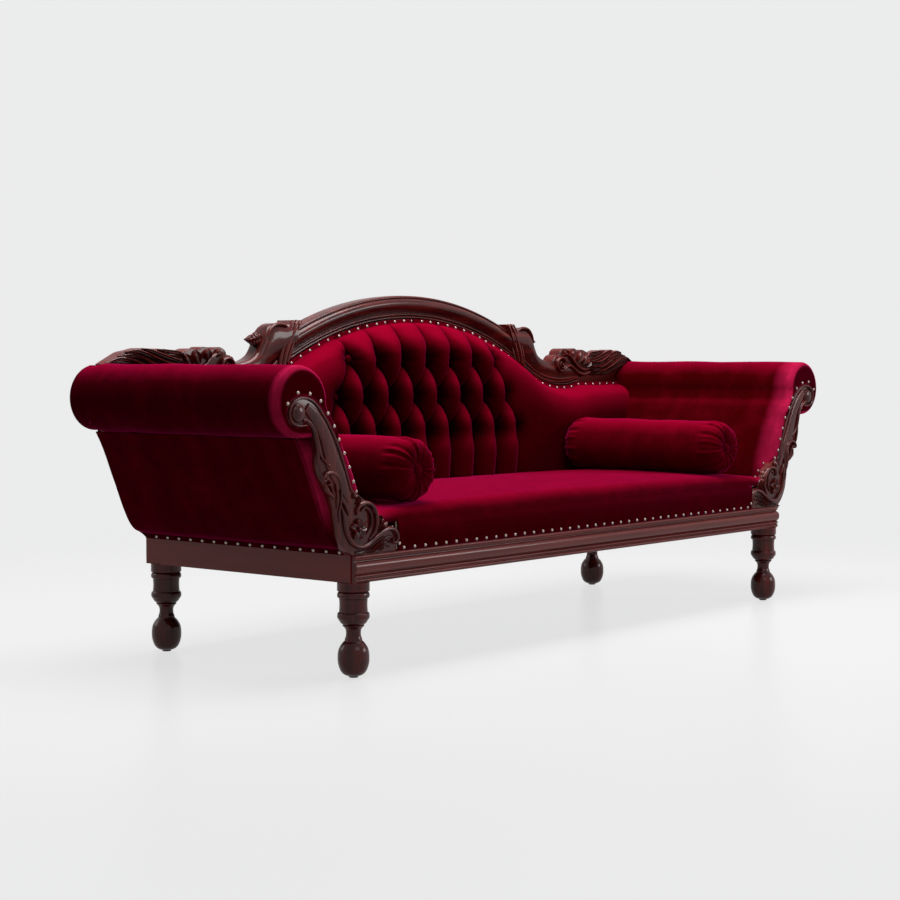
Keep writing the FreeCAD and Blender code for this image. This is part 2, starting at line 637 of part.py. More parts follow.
def tufts():
    """All swellings of the buttoned back: full diamonds, and pleats that run up and down."""
    rows = button_rows()
    half_width = TUFT_PITCH / 2 - 2.5
    row = TUFT_ROW_HEIGHT
    tip = 7.0
    shapes = []

    def station(z, share, x, swell_share=1.0):
        width = 3.0 + (half_width - 3.0) * share
        swell = 1.0 + (TUFT_CROWN - 1.0) * share ** 0.6 * swell_share
        return z, width, swell, pad_front(z, x, TUFT_PLANE)

    reach = row - tip
    for x in rows[0][1]:
        middle = rows[1][0]
        steps = [(-1.0, 0.0), (-0.5, 0.52), (0.0, 1.0), (0.5, 0.52), (1.0, 0.0)]
        shapes.append(tuft(x, [station(middle + reach * rise, share, x) for rise, share in steps]))

    for i in range(len(rows[0][1]) - 1):
        x = (rows[0][1][i] + rows[0][1][i + 1]) / 2
        middle = rows[0][0]
        end = pad_top(x) - tack_land(x) - 6
        rise = end - middle
        steps = [(middle - reach, 0.0, 1), (middle - reach * 0.5, 0.52, 1), (middle, 1.0, 1),
                 (middle + rise * 0.4, 1.0, 0.9), (middle + rise * 0.72, 1.0, 0.64), (end, 1.0, 0.3)]
        shapes.append(tuft(x, [station(z, s, x, k) for z, s, k in steps]))

    for i in range(len(rows[2][1]) - 1):
        x = (rows[2][1][i] + rows[2][1][i + 1]) / 2
        middle = rows[2][0]
        foot = SEAT_EDGE_TOP - 24
        drop = middle - foot
        steps = [(foot, 1.0, 0.7), (foot + drop * 0.5, 1.0, 0.95), (middle, 1.0, 1),
                 (middle + reach * 0.5, 0.52, 1), (middle + reach, 0.0, 1)]
        shapes.append(tuft(x, [station(z, s, x, k) for z, s, k in steps]))
    return shapes


def make_back_pads():
    """Deep-buttoned centre pad, its buttons, and the plain pads that reach out to the arms."""
    rows = button_rows()
    edge = rows[-1][1][-1]
    panels = 12
    stations = [edge * (2 * k / panels - 1) for k in range(panels + 1)]
    slab = panelled([pad_section(x, TUFT_PLANE) for x in stations])
    start, moves = field_outline(0)
    field = upright_plate(start, moves, TUFT_PLANE - 40, BACK_FRONT)
    pad = slab.common(field).multiFuse(tufts())
    radius = BUTTON_DIAMETER / 2
    pockets = []
    buttons = []
    for height, places in rows:
        for x in places:
            room = radius + FIT_GAP
            pockets.append(stub(x, height, TUFT_PLANE + 1, TUFT_PLANE - TUFT_CROWN - 5, room, room))
            buttons.append(stub(x, height, TUFT_PLANE + 1 - FIT_GAP, TUFT_PLANE - BUTTON_HEIGHT, radius, radius * 0.6))
    pockets = Part.makeCompound(pockets)
    pad = pad.cut(pockets)
    save("back_pad_buttoned", pad)
    save("back_buttons", Part.makeCompound(buttons))

    wing_end = ROLL_X - ROLL_RADIUS + 20
    start = rows[0][1][-1] - 4
    panels = 13
    places = [start + (wing_end - start) * k / panels for k in range(panels + 1)]
    wing = panelled([pad_section(x, WING_PLANE) for x in places]).cut(pockets)
    start, moves = field_outline(FIT_GAP)
    field = upright_plate(start, moves, TUFT_PLANE - 40, BACK_FRONT)
    start, moves = arm_pad_outline(FIT_GAP)
    arm = upright_plate(start, moves, TUFT_PLANE - 60, BACK_REAR)
    save_pair("back_pad_wing", max(wing.cut(field).cut(arm).Solids, key=lambda s: s.Volume))


def crest_section(angle, centre, radius_of):
    """Show section of the crest at an angle about a centre, as points of height above its edge."""
    front = BACK_FRONT
    points = [
        (0.0, front), (0.0, front - 6), (3.5, front - 10), (8.5, front - 5), (13.5, front - 10),
        (19.0, front - 3), ((36.0, front - 17), (54.0, front - 12)), (57.0, front - 9),
        (CREST_BAND - 4, front - 8), (CREST_BAND, front - 2), (CREST_BAND, BACK_REAR - 6),
        (CREST_BAND - 5, BACK_REAR), (-CREST_REBATE, BACK_REAR),
    ]

    def place(height, y):
        radius = radius_of(height)
        return v(centre[0] + radius * sin(angle), y, centre[1] + radius * cos(angle))

    return outline((-CREST_REBATE, front), points, place, 2)


def turned(wire, centre, degrees_swept):
    """Solid swept by turning a section about an axis through a centre, along Y."""
    return Part.Face(wire).revolve(v(centre[0], 0, centre[1]), v(0, 1, 0), degrees_swept)


COLLAR_INNER = (451.0, 497.0)   # left edge of the carved collar, at the arch's top and bottom
COLLAR_WIDTH = 40.0
COLLAR_TOP = 838.0
COLLAR_FOOT = 712.0


def collar_line(shift):
    return (COLLAR_INNER[0] + shift, COLLAR_TOP), (COLLAR_INNER[1] + shift, COLLAR_FOOT)


def make_crest():
    """Camel-back crest: moulded arch, two shoulders with collar and ear, finials and carvings."""
    arch_centre = (0.0, ARCH_CENTRE_Z)
    hollow_centre = (HOLLOW_X, HOLLOW_CENTRE_Z)
    reach = asin(COLLAR_INNER[1] / ARCH_RADIUS) + 0.02
    arch = turned(crest_section(-reach, arch_centre, lambda h: ARCH_RADIUS + h), arch_centre,
                  degrees(2 * reach))
    top, foot = collar_line(0)
    far = 300.0
    slope = (foot[0] - top[0]) / (top[1] - foot[1])
    high = (top[0] - slope * far, top[1] + far)
    low = (foot[0] + slope * far, foot[1] - far)
    beyond = upright_plate(high, [(high[0] + 900, high[1]), (low[0] + 900, low[1]), low], 200, 450)
    arch = arch.cut(beyond).cut(mirrored(beyond))
    save("crest_arch", arch)

    lead_start = asin(COLLAR_INNER[0] / (ARCH_RADIUS + CREST_BAND)) - 0.02
    lead = turned(crest_section(lead_start, arch_centre, lambda h: ARCH_RADIUS + h), arch_centre,
                  degrees(TURN_ANGLE - lead_start))
    hollow_start = pi + TURN_ANGLE
    hollow_stop = pi + asin((HOLLOW_X - BOARD_START) / HOLLOW_RADIUS)
    hollow = turned(crest_section(hollow_start, hollow_centre, lambda h: HOLLOW_RADIUS - h), hollow_centre,
                    degrees(hollow_stop - hollow_start))
    shoulder = lead.fuse(hollow).common(beyond)

    collar_top, collar_foot = collar_line(0)
    outer_top, outer_foot = collar_line(COLLAR_WIDTH)
    collar = upright_plate(collar_top, [outer_top, ((outer_top[0] + 18, 780.0), outer_foot), collar_foot],
                           BACK_FRONT - 15, BACK_REAR)
    collar = collar.cut(rod(0, BACK_FRONT - 16, ARCH_CENTRE_Z, v(0, 1, 0), 2 * ARCH_RADIUS, 16))
    ear = upright_plate((480.0, 800.0), [
        (503.0, 826.0), ((532.0, 830.0), (560.0, 824.0)), ((580.0, 818.0), (FINIAL_X, FINIAL_Z + 20)),
        (FINIAL_X, FINIAL_Z - 20), ((604.0, 752.0), (632.0, 733.0)), (560.0, 730.0),
    ], BACK_FRONT - 9, BACK_REAR, flats=CARVED_FLATS)
    dowel_hole = faceted_bore((FINIAL_X - 16, CREST_CENTRE_Y, FINIAL_Z), "X", 10 + 2 * FIT_GAP, 20)

    board_high = HOLLOW_CENTRE_Z - sqrt((HOLLOW_RADIUS - CREST_BAND) ** 2 - (BOARD_START - HOLLOW_X) ** 2)
    board = upright_plate((BOARD_START - 1, HOLLOW_LOW - CREST_REBATE + 3), [
        ((HOLLOW_X, HOLLOW_LOW - CREST_REBATE), (BEAD_END, TAIL_LOW - CREST_REBATE)),
        (SHOULDER_END, TAIL_LOW - CREST_REBATE + 8), (SHOULDER_END, 700.0), (BEAD_END, 716.0),
        (BOARD_START - 1, board_high),
    ], BACK_FRONT, BACK_REAR)
    strip_wire = outline((0.0, BACK_FRONT), [
        (0.0, BACK_FRONT - 6), (3.5, BACK_FRONT - 10), (8.5, BACK_FRONT - 5), (13.5, BACK_FRONT - 10),
        (18.0, BACK_FRONT),
    ], lambda h, y: v(hollow_centre[0] + (HOLLOW_RADIUS - h) * sin(hollow_stop), y,
                      hollow_centre[1] + (HOLLOW_RADIUS - h) * cos(hollow_stop)))
    strip_sweep = asin((HOLLOW_X - BOARD_START) / HOLLOW_RADIUS) + asin((BEAD_END - HOLLOW_X) / HOLLOW_RADIUS)
    strip = turned(strip_wire, hollow_centre, -degrees(strip_sweep))
    shoulder = fused([shoulder, collar, ear, board, strip]).cut(dowel_hole)
    save_pair("crest_shoulder", shoulder)

    base = FINIAL_BASE / 2
    turnings = [(-14, 5.0), (0, 5.0), (0, base - 3), (4, base), (9, base - 4), (13, base - 2), (18, base - 8),
                (22, base - 6), (27, base - 12), (FINIAL_LENGTH, 1.0)]
    finial = panelled([round_ring((FINIAL_X + x, CREST_CENTRE_Y, FINIAL_Z), "X", r, 12) for x, r in turnings])
    save("crest_finials", Part.makeCompound([finial, mirrored(finial)]))

    carve_low = HOLLOW_LOW + 26
    scroll = upright_plate((BOARD_START + 10, 706.0), [
        (BOARD_START + 10, 724.0), (686.0, 732.0), ((702.0, 744.0), (726.0, 748.0)), (748.0, 742.0), ((772.0, 765.0), (796.0, 744.0)),
        ((819.0, 764.0), (842.0, 742.0)), ((866.0, 763.0), (887.0, 738.0)), (884.0, 700.0),
        ((862.0, 682.0), (835.0, carve_low + 4)), ((800.0, 690.0), (775.0, 704.0)),
        ((738.0, 690.0), (BOARD_START + 10, 706.0)),
    ], BACK_FRONT - 16, BACK_REAR - 6, flats=CARVED_FLATS)
    volute = panelled([round_ring((730, y, 718), "Y", 17, 16) for y in (BACK_FRONT - 24, BACK_FRONT - 14)])
    scroll = fused([scroll, volute]).cut(shoulder)
    scroll = max(scroll.Solids, key=lambda s: s.Volume)
    save("crest_scrolls", Part.makeCompound([scroll, mirrored(scroll)]))

    plume = upright_plate((888.0, 698.0), [
        (888.0, 742.0), ((955.0, 763.0), (1030.0, 758.0)), ((1085.0, 752.0), (1127.0, 726.0)),
        (1112.0, 700.0), ((1060.0, 680.0), (1000.0, 690.0)), ((940.0, 672.0), (888.0, 698.0)),
    ], BACK_FRONT - 14, BACK_REAR - 6, flats=CARVED_FLATS)
    start, moves = arm_pad_outline(FIT_GAP)
    plume = plume.cut(shoulder).cut(upright_plate(start, moves, FACING_BACK, BACK_FRONT))
    plume = max(plume.Solids, key=lambda s: s.Volume)
    save("crest_plumes", Part.makeCompound([plume, mirrored(plume)]))
    return shoulder


def make_back_frame():
    """Stiles, tacking rail, upright webbing and the outside panel of the back."""
    half = STILE_WIDTH / 2
    stiles = []
    for place in STILE_PLACES:
        for x in (-place, place):
            top = min(crest_edge(x - half), crest_edge(x), crest_edge(x + half)) - 1.1 * CREST_REBATE
            stiles.append(box(x - half, x + half, BACK_FRONT + 18, BACK_REAR, RAIL_TOP, top))
    save("back_stiles", Part.makeCompound(stiles))
    rail_end = 950.0
    save("back_tack_rail", box(-rail_end, rail_end, BACK_FRONT, BACK_FRONT + 18, 420, 462))
    strips = []
    for x in (-780, -600, -420, -252, -84, 84, 252, 420, 600, 780):
        top = min(crest_edge(abs(x) + WEB_WIDTH / 2), crest_edge(abs(x) - WEB_WIDTH / 2)) - 2
        strips.append(box(x - WEB_WIDTH / 2, x + WEB_WIDTH / 2, BACK_FRONT - WEB_THICK, BACK_FRONT, 424, top))
    save("back_webbing", Part.makeCompound(strips))

    top, knee, bend, land, foot = panel_line(0)
    hollow_rise = 16.0
    edge = [(SHOULDER_END - 8, TAIL_LOW + 10), (BEAD_END, TAIL_LOW + 10),
            ((HOLLOW_X, HOLLOW_LOW + hollow_rise), (TURN_X + 12, crest_edge(TURN_X + 12) + hollow_rise))]
    shoulder_point = (TURN_X - 12, crest_edge(TURN_X - 12) + hollow_rise)
    crown = (0.0, crest_edge(0) + hollow_rise)

    def flip(point):
        return -point[0], point[1]

    moves = [(foot[0] - 3, RAIL_TOP + FIT_GAP), (knee[0], knee[1]), (top[0] - 2, top[1])] + edge[:2] + edge[2:]
    moves += [shoulder_point, (crown, flip(shoulder_point)), flip(edge[2][1]),
              (flip(edge[2][0]), flip(edge[1])), flip(edge[0]), flip((top[0] - 2, top[1])),
              flip(knee), flip((foot[0] - 3, RAIL_TOP + FIT_GAP))]
    save("back_outside_panel", upright_plate((0.0, RAIL_TOP + FIT_GAP), moves, BACK_REAR, BACK_REAR + 4))


def nail(point, outward):
    """Domed upholstery nail, seated on a surface as a low six-sided cap."""
    ring = [v(NAIL_WIDTH / 2 * cos(pi * k / 3), NAIL_WIDTH / 2 * sin(pi * k / 3), 0) for k in range(7)]
    base = Part.Face(Part.makePolygon(ring))
    sides = [Part.Face(Part.makePolygon([a, b, v(0, 0, NAIL_HEIGHT), a])) for a, b in zip(ring, ring[1:])]
    cap = Part.makeSolid(Part.makeShell([base] + sides))
    if cap.Volume < 0:
        cap.reverse()
    cap.Placement = FreeCAD.Placement(v(*point), FreeCAD.Rotation(v(0, 0, 1), v(*outward)))
    return cap


def velvet_front(x, z):
    """Depth of the velvet's front round an arm facing."""
    reach = hypot(x - ROLL_X, z - ROLL_Z)
    if reach - NAIL_WIDTH / 2 < ROLL_RADIUS:
        rounding = max(0.0, reach - NAIL_WIDTH / 2 - (ROLL_RADIUS - ROLL_END_ROUND))
        curve = ROLL_FRONT + ROLL_END_ROUND - sqrt(ROLL_END_ROUND ** 2 - rounding ** 2)
        return curve + (NAIL_SINK if rounding else 0.0)
    if x < FACING_START[0]:
        return SEAT_FRONT
    return FACING_BACK + FIT_GAP


def make_nails():
    """Rows of nails: along the rails, round the arm facings and under the crest."""
    rail_nails = []
    span = 2 * (FACING_START[0] - 24)
    count = int(span / NAIL_PITCH)
    height = RAIL_TOP + NAIL_WIDTH / 2 + 1
    for i in range(count + 1):
        rail_nails.append(nail((span * (i / count - 0.5), SEAT_FRONT, height), (0, -1, 0)))
    side_span = 2 * (LEG_Y - 8)
    side_count = int(side_span / NAIL_PITCH)
    for i in range(side_count + 1):
        y = side_span * (i / side_count - 0.5)
        side_nail = nail((panel_line(0)[-1][0], y, height), (1, 0, 0))
        rail_nails += [side_nail, mirrored(side_nail)]
    save("rail_nails", Part.makeCompound(rail_nails))

    edge = Part.Wire(run_of_edges(FACING_START, FACING_MOVES[:9], lambda a, b: v(a, 0, b))[:-1])
    steps = int(edge.Length / (NAIL_PITCH * 0.88))
    points = edge.discretize(2 * steps + 1)
    facing_nails = []
    for k in range(1, 2 * steps, 2):
        before, here, after = points[k - 1], points[k], points[k + 1]
        along = (after - before).normalize()
        x, z = here.x - along.z * NAIL_MARGIN, here.z + along.x * NAIL_MARGIN
        cap = nail((x, velvet_front(x, z), z), (0, -1, 0))
        facing_nails += [cap, mirrored(cap)]
    save("facing_nails", Part.makeCompound(facing_nails))

    crest_nails = []
    x = 0.0
    while x < ROLL_X - ROLL_RADIUS - NAIL_WIDTH:
        cap = nail((x, TACK_PLANE, pad_top(x) - tack_land(x) / 2), (0, -1, 0))
        crest_nails += [cap] if x == 0 else [cap, mirrored(cap)]
        x += NAIL_PITCH * TACK_LAND / tack_land(x)
    save("crest_nails", Part.makeCompound(crest_nails))


def make_bolsters():
    """Loose round bolsters: swelling barrel, soft shoulders and a dimple with a button at each end."""
    radius = BOLSTER_DIAMETER / 2
    soft = BOLSTER_END_ROUND
    floor = seat_top_at(BOLSTER_X - 22) + FIT_GAP - BOLSTER_SINK
    centre_z = floor + radius - BOLSTER_REST
    half = (BOLSTER_REAR - BOLSTER_FRONT) / 2
    middle = (BOLSTER_REAR + BOLSTER_FRONT) / 2
    end = [(BOLSTER_BUTTON / 2 + 1, half - BOLSTER_DIMPLE), (radius - soft, half)]
    end += [(radius - soft + soft * sin(a), half - soft + soft * cos(a)) for a in (pi / 6, pi / 3, pi / 2)]
    line = [(r, -y) for r, y in end] + [(r, y) for r, y in end[::-1]]
    solid = panelled([round_ring((BOLSTER_X, middle + y, centre_z), "Y", r, BOLSTER_SIDES) for r, y in line])
    below = box(BOLSTER_X - radius, BOLSTER_X + radius, BOLSTER_FRONT - 1, BOLSTER_REAR + 1, floor - 20, floor)
    save_pair("bolster", solid.cut(below))
    knots = []
    for toward in (-1, 1):
        seat = middle + toward * (half - BOLSTER_DIMPLE)
        knots.append(stub(BOLSTER_X, centre_z, seat, seat + toward * 6, BOLSTER_BUTTON / 2, BOLSTER_BUTTON / 3))
    save_pair("bolster_buttons", Part.makeCompound(knots))


def seat_top_at(x):
    """Highest level of the seat across its depth at a place along it."""
    share = abs(x) / SEAT_HALF_LENGTH
    return SEAT_EDGE_TOP - 14.0 * share ** 6 - 4.0 * share ** 2 + SEAT_CROWN * (1 - 0.6 * share ** 2)


os.makedirs("parts", exist_ok=True)
make_legs()
make_rails()
make_front_moulding()
make_seat()
make_dust_cover()
make_arms(make_crest())
make_back_pads()
make_back_frame()
make_nails()
make_bolsters()
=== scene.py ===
import bpy, bmesh
from math import asin, atan2, cos, degrees, exp, hypot, pi, radians, sin, sqrt
from mathutils import Matrix, Vector, noise
from mathutils.geometry import delaunay_2d_cdt
from mathutils.bvhtree import BVHTree


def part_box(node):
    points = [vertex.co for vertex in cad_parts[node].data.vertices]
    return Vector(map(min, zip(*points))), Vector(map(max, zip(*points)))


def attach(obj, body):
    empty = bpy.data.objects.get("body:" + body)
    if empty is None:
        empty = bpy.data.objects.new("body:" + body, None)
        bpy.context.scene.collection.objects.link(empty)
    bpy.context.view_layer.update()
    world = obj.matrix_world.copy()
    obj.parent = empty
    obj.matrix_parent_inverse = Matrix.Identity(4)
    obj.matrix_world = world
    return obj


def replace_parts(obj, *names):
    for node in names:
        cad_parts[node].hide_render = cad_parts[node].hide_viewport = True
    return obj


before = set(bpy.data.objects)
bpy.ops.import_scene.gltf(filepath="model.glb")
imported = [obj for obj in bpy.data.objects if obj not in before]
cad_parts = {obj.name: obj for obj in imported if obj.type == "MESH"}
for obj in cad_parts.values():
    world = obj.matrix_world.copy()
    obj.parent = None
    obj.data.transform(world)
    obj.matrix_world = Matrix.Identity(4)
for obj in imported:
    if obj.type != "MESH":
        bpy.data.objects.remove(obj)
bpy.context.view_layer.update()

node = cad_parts

# Rails, posts and stiles: the hardwood frame. The rails show as dark polished mahogany under the
# velvet; everything inside the upholstery is bare sawn timber, tenoned and doweled together.


class Socket:
    """A value inside a material. Sums written on it add Math nodes."""

    def __init__(self, tree, link):
        self.tree, self.link = tree, link

    def node(self, kind, output, settings={}, inputs={}):
        made = self.tree.nodes.new("ShaderNode" + kind)
        for key, value in settings.items():
            if key == "stops":
                while len(made.color_ramp.elements) < len(value):
                    made.color_ramp.elements.new(0.5)
                for stop, (place, colour) in zip(made.color_ramp.elements, value):
                    stop.position, stop.color = place, (*colour, 1)
            else:
                setattr(made, key, value)
        for key, value in inputs.items():
            if isinstance(value, Socket):
                self.tree.links.new(value.link, made.inputs[key])
            else:
                made.inputs[key].default_value = value
        return Socket(self.tree, made.outputs[output])

    def math(self, operation, first, *others):
        return self.node("Math", 0, {"operation": operation}, dict(enumerate((first, *others))))

    __add__ = __radd__ = lambda self, other: self.math("ADD", self, other)
    __mul__ = __rmul__ = lambda self, other: self.math("MULTIPLY", self, other)
    __sub__ = lambda self, other: self.math("SUBTRACT", self, other)
    __rsub__ = lambda self, other: self.math("SUBTRACT", other, self)
    __pow__ = lambda self, other: self.math("POWER", self, other)

    def held(self):
        """The value kept between 0 and 1."""
        return self.node("Clamp", 0, {}, {0: self})

    def stretched(self, scale):
        return self.node("Mapping", 0, {}, {"Vector": self, "Scale": scale})

    def noise(self, scale, detail=3.0, roughness=0.5):
        return self.node("TexNoise", 0, {}, {"Vector": self, "Scale": scale, "Detail": detail,
            "Roughness": roughness})

    def wave(self, direction, scale, distortion):
        return self.node("TexWave", 0, {"bands_direction": direction}, {"Vector": self, "Scale": scale,
            "Distortion": distortion})

    def blend(self, low, high):
        """Colour between two others, with this value as the share of the second."""
        return self.node("Mix", 2, {"data_type": "RGBA"}, {0: self, 6: low, 7: high})

    def bump(self, strength, distance):
        return self.node("Bump", 0, {}, {"Strength": strength, "Distance": distance, "Height": self})

    def part(self, axis):
        return self.node("SeparateXYZ", axis, {}, {0: self})

    def into(self, shader, name):
        self.tree.links.new(self.link, shader.inputs[name])


def finish_of(name, **plain):
    """New material: itself, its shader with plain values set, and its object coordinates."""
    made = bpy.data.materials.new(name)
    made.use_nodes = True
    shader = made.node_tree.nodes["Principled BSDF"]
    for key, value in plain.items():
        shader.inputs[key.replace("_", " ")].default_value = value
    where = Socket(made.node_tree, made.node_tree.nodes.new("ShaderNodeTexCoord").outputs["Object"])
    return made, shader, where


def timber(name, along, dark, middle, light, rough, coat):
    """Wood with long fibres and a broader figure; hollows get painted shade and worn edges are lighter.
    """
    made, shader, where = finish_of(name, Coat_Weight=coat, Coat_Roughness=0.13, IOR=1.5,
        Specular_IOR_Level=0.06)
    run = where.stretched(along)
    fibre = run.noise(90.0, 4.0, 0.6)
    figure = run.noise(7.0, 2.0, 0.5)
    tone = fibre * 0.45 + figure * 0.55
    colour = tone.node("ValToRGB", 0, {"stops": [(0.32, dark), (0.52, middle), (0.72, light)]},
        {0: tone})
    # Curvature sets painted shade in the hollows, which go near black, and real wear on the lighter
    # edges.
    curvature = where.node("NewGeometry", "Pointiness")
    painted_shade = ((0.495 - curvature) * 14.0).held()
    edge = ((curvature - 0.52) * 9.0).held()
    colour = painted_shade.blend(colour, (dark[0] * 0.3, dark[1] * 0.3, dark[2] * 0.3, 1))
    colour = (edge * 0.55).blend(colour, (light[0] * 1.5, light[1] * 1.6, light[2] * 1.7, 1))
    colour.into(shader, "Base Color")
    (rough + 0.16 * fibre + 0.18 * painted_shade).into(shader, "Roughness")
    (fibre * 0.6 + run.noise(30.0, 2.0) * 0.4).bump(0.12, 0.0006).into(shader, "Normal")
    return made


def mahogany(name, along):
    return timber(name, along, (0.011, 0.0009, 0.0009), (0.055, 0.0042, 0.0034), (0.13, 0.012, 0.0085),
        0.33, 0.34)


def dress(names, finish):
    """Gives CAD nodes that stay in view a finish."""
    for name in names:
        node[name].data.materials.clear()
        node[name].data.materials.append(finish)


polished_along = mahogany("mahogany_long", (0.6, 9.0, 9.0))
polished_across = mahogany("mahogany_across", (9.0, 0.6, 9.0))
polished_upright = mahogany("mahogany_upright", (9.0, 9.0, 0.8))
bare = timber("bare_hardwood", (0.6, 9.0, 9.0), (0.2, 0.12, 0.06), (0.4, 0.27, 0.14), (0.55, 0.4, 0.24),
    0.5, 0.0)
dress(["front_rail", "rear_rail"], polished_along)
dress(["side_rail_left", "side_rail_right"], polished_across)
dress(["corner_blocks", "seat_stretchers", "back_stiles", "back_tack_rail"], bare)
dress([f"arm_{part}_{side}" for part in ("slat", "front_post", "rear_post", "roll_bar")
    for side in ("left", "right")], bare)

# Legs: four turned mahogany legs, each with a ball foot, a slim neck, a flared collar, a drum
# between two beads and a square-edged top ring. Each is doweled into a corner block.


def trace(*spots):
    """Points of a line, in metres, from tenths of a millimetre."""
    return [(x / 10000, z / 10000) for x, z in spots]


def sizes(*tenths):
    """Widths or heights along a line, in metres, from tenths of a millimetre."""
    return [value / 10000 for value in tenths]


def flowing(points, steps):
    """Points of a line that flows through the given ones; a point given twice makes a corner."""
    spots = [Vector(p) for p in points]
    line = [spots[0]]
    for before, here, there, after in zip(spots[:1] + spots, spots, spots[1:], spots[2:] + spots[-1:]):
        span = (there - here).length
        if span < 1e-9:
            continue
        ahead = (there - here).normalized()
        start = ahead + (here - before).normalized()
        end = ahead + (after - there).normalized()
        start = start.normalized() * span if start.length > 0.2 else ahead * span
        end = end.normalized() * span if end.length > 0.2 else ahead * span
        for k in range(1, steps + 1):
            t = k / steps
            line.append(here * (2 * t ** 3 - 3 * t * t + 1) + start * (t ** 3 - 2 * t * t + t)
                + there * (3 * t * t - 2 * t ** 3) + end * (t ** 3 - t * t))
    return line


def spun(bm, line, centre, axis, steps, sweep=360.0):
    """A line of points turned about an axis; a full turn is closed."""
    spots = [bm.verts.new(p) for p in line]
    edges = [bm.edges.new(pair) for pair in zip(spots, spots[1:])]
    bmesh.ops.spin(bm, geom=spots + edges, cent=centre, axis=axis, angle=radians(sweep), steps=steps,
        use_merge=sweep == 360.0)


def piece(name, bm, finish, replaced, body="couch_frame", sharp=38.0):
    """Finished piece from its mesh: doubles merged, faces outwards, soft between sharp edges."""
    bmesh.ops.remove_doubles(bm, verts=bm.verts, dist=0.00002)
    bmesh.ops.recalc_face_normals(bm, faces=bm.faces)
    for face in bm.faces:
        face.smooth = True
    for edge in bm.edges:
        if len(edge.link_faces) == 2:
            edge.smooth = edge.calc_face_angle(0.0) < radians(sharp)
    mesh = bpy.data.meshes.new(name)
    bm.to_mesh(mesh)
    bm.free()
    mesh.materials.append(finish)
    made = bpy.data.objects.new(name, mesh)
    bpy.context.scene.collection.objects.link(made)
    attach(made, body)
    if replaced:
        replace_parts(made, *replaced)
    return made


leg_line = flowing(trace((0, 25), (0, 25), (125, 32), (260, 100), (350, 280), (370, 480), (345, 660),
    (270, 790), (205, 860), (205, 860), (200, 900), (178, 965), (172, 1040), (185, 1120), (240, 1190),
    (240, 1190), (255, 1205), (240, 1225), (240, 1225), (300, 1275), (345, 1345), (345, 1345),
    (372, 1385), (378, 1440), (368, 1500), (368, 1500), (335, 1520), (335, 1520), (325, 1680),
    (332, 1845), (332, 1845), (365, 1862), (380, 1915), (365, 1972), (365, 1972), (340, 1990),
    (340, 1990), (358, 2005), (380, 2020), (380, 2020), (380, 2216), (380, 2216), (0, 2216)), 4)
leg_x, leg_y = 0.926, 0.318
for row, y in (("front", -leg_y), ("rear", leg_y)):
    bm = bmesh.new()
    for x in (-leg_x, leg_x):
        spun(bm, [(x + p.x, y, p.y) for p in leg_line], (x, y, 0), (0, 0, 1), steps=56)
    piece(f"turned_legs_{row}", bm, polished_upright, [f"legs_{row}"], sharp=50)

# Foot glides: a small black pad pressed in under each ball foot. Its edges are eased, and it
# holds the wood a little clear of the floor.
made, shader, where = finish_of("black_glide", IOR=1.45)
where.noise(300.0).blend((0.008, 0.008, 0.008, 1), (0.02, 0.02, 0.02, 1)).into(shader, "Base Color")
(0.45 + 0.15 * where.noise(120.0)).into(shader, "Roughness")
bm = bmesh.new()
glide_depth = 0.0035
for x in (-leg_x, leg_x):
    for y in (-leg_y, leg_y):
        bmesh.ops.create_cone(bm, cap_ends=True, segments=32, radius1=0.0108, radius2=0.011,
            depth=glide_depth, matrix=Matrix.Translation((x, y, glide_depth / 2)))
rims = [e for e in bm.edges if e.is_boundary or e.calc_face_angle(0.0) > 0.8]
bmesh.ops.bevel(bm, geom=rims, offset=0.0007, segments=2, profile=0.5, affect="EDGES", material=-1)
piece("black_glides", bm, made, ["foot_glides"])

# Front moulding: a length of run mahogany moulding planted on the front rail. Two small beads
# lie under a broad half round, and a quirk and a small bead finish it at the top.


def block(bm, spots, axis, reach):
    """Flat face drawn out along an axis to a place; the far face is given back."""
    face = bm.faces.new([bm.verts.new(spot) for spot in spots])
    pulled = bmesh.ops.extrude_face_region(bm, geom=[face])["geom"]
    for item in pulled:
        if isinstance(item, bmesh.types.BMVert):
            item.co[axis] = reach
    return next(item for item in pulled if isinstance(item, bmesh.types.BMFace))


run_half = 0.955
run_line = flowing(trace((-3380, 2220), (-3380, 2220), (-3480, 2220), (-3490, 2230), (-3490, 2250),
    (-3490, 2250), (-3520, 2280), (-3488, 2313), (-3480, 2325), (-3488, 2338), (-3520, 2370),
    (-3488, 2402), (-3472, 2415), (-3472, 2415), (-3530, 2470), (-3556, 2560), (-3542, 2645),
    (-3480, 2700), (-3460, 2705), (-3458, 2735), (-3488, 2750), (-3492, 2785), (-3492, 2785),
    (-3526, 2825), (-3495, 2860), (-3495, 2860), (-3380, 2860), (-3380, 2860), (-3380, 2220)), 4)
bm = bmesh.new()
block(bm, [(-run_half, p.x, p.y) for p in run_line[:-1]], 0, run_half)
piece("run_moulding", bm, polished_along, ["front_moulding"], sharp=50)

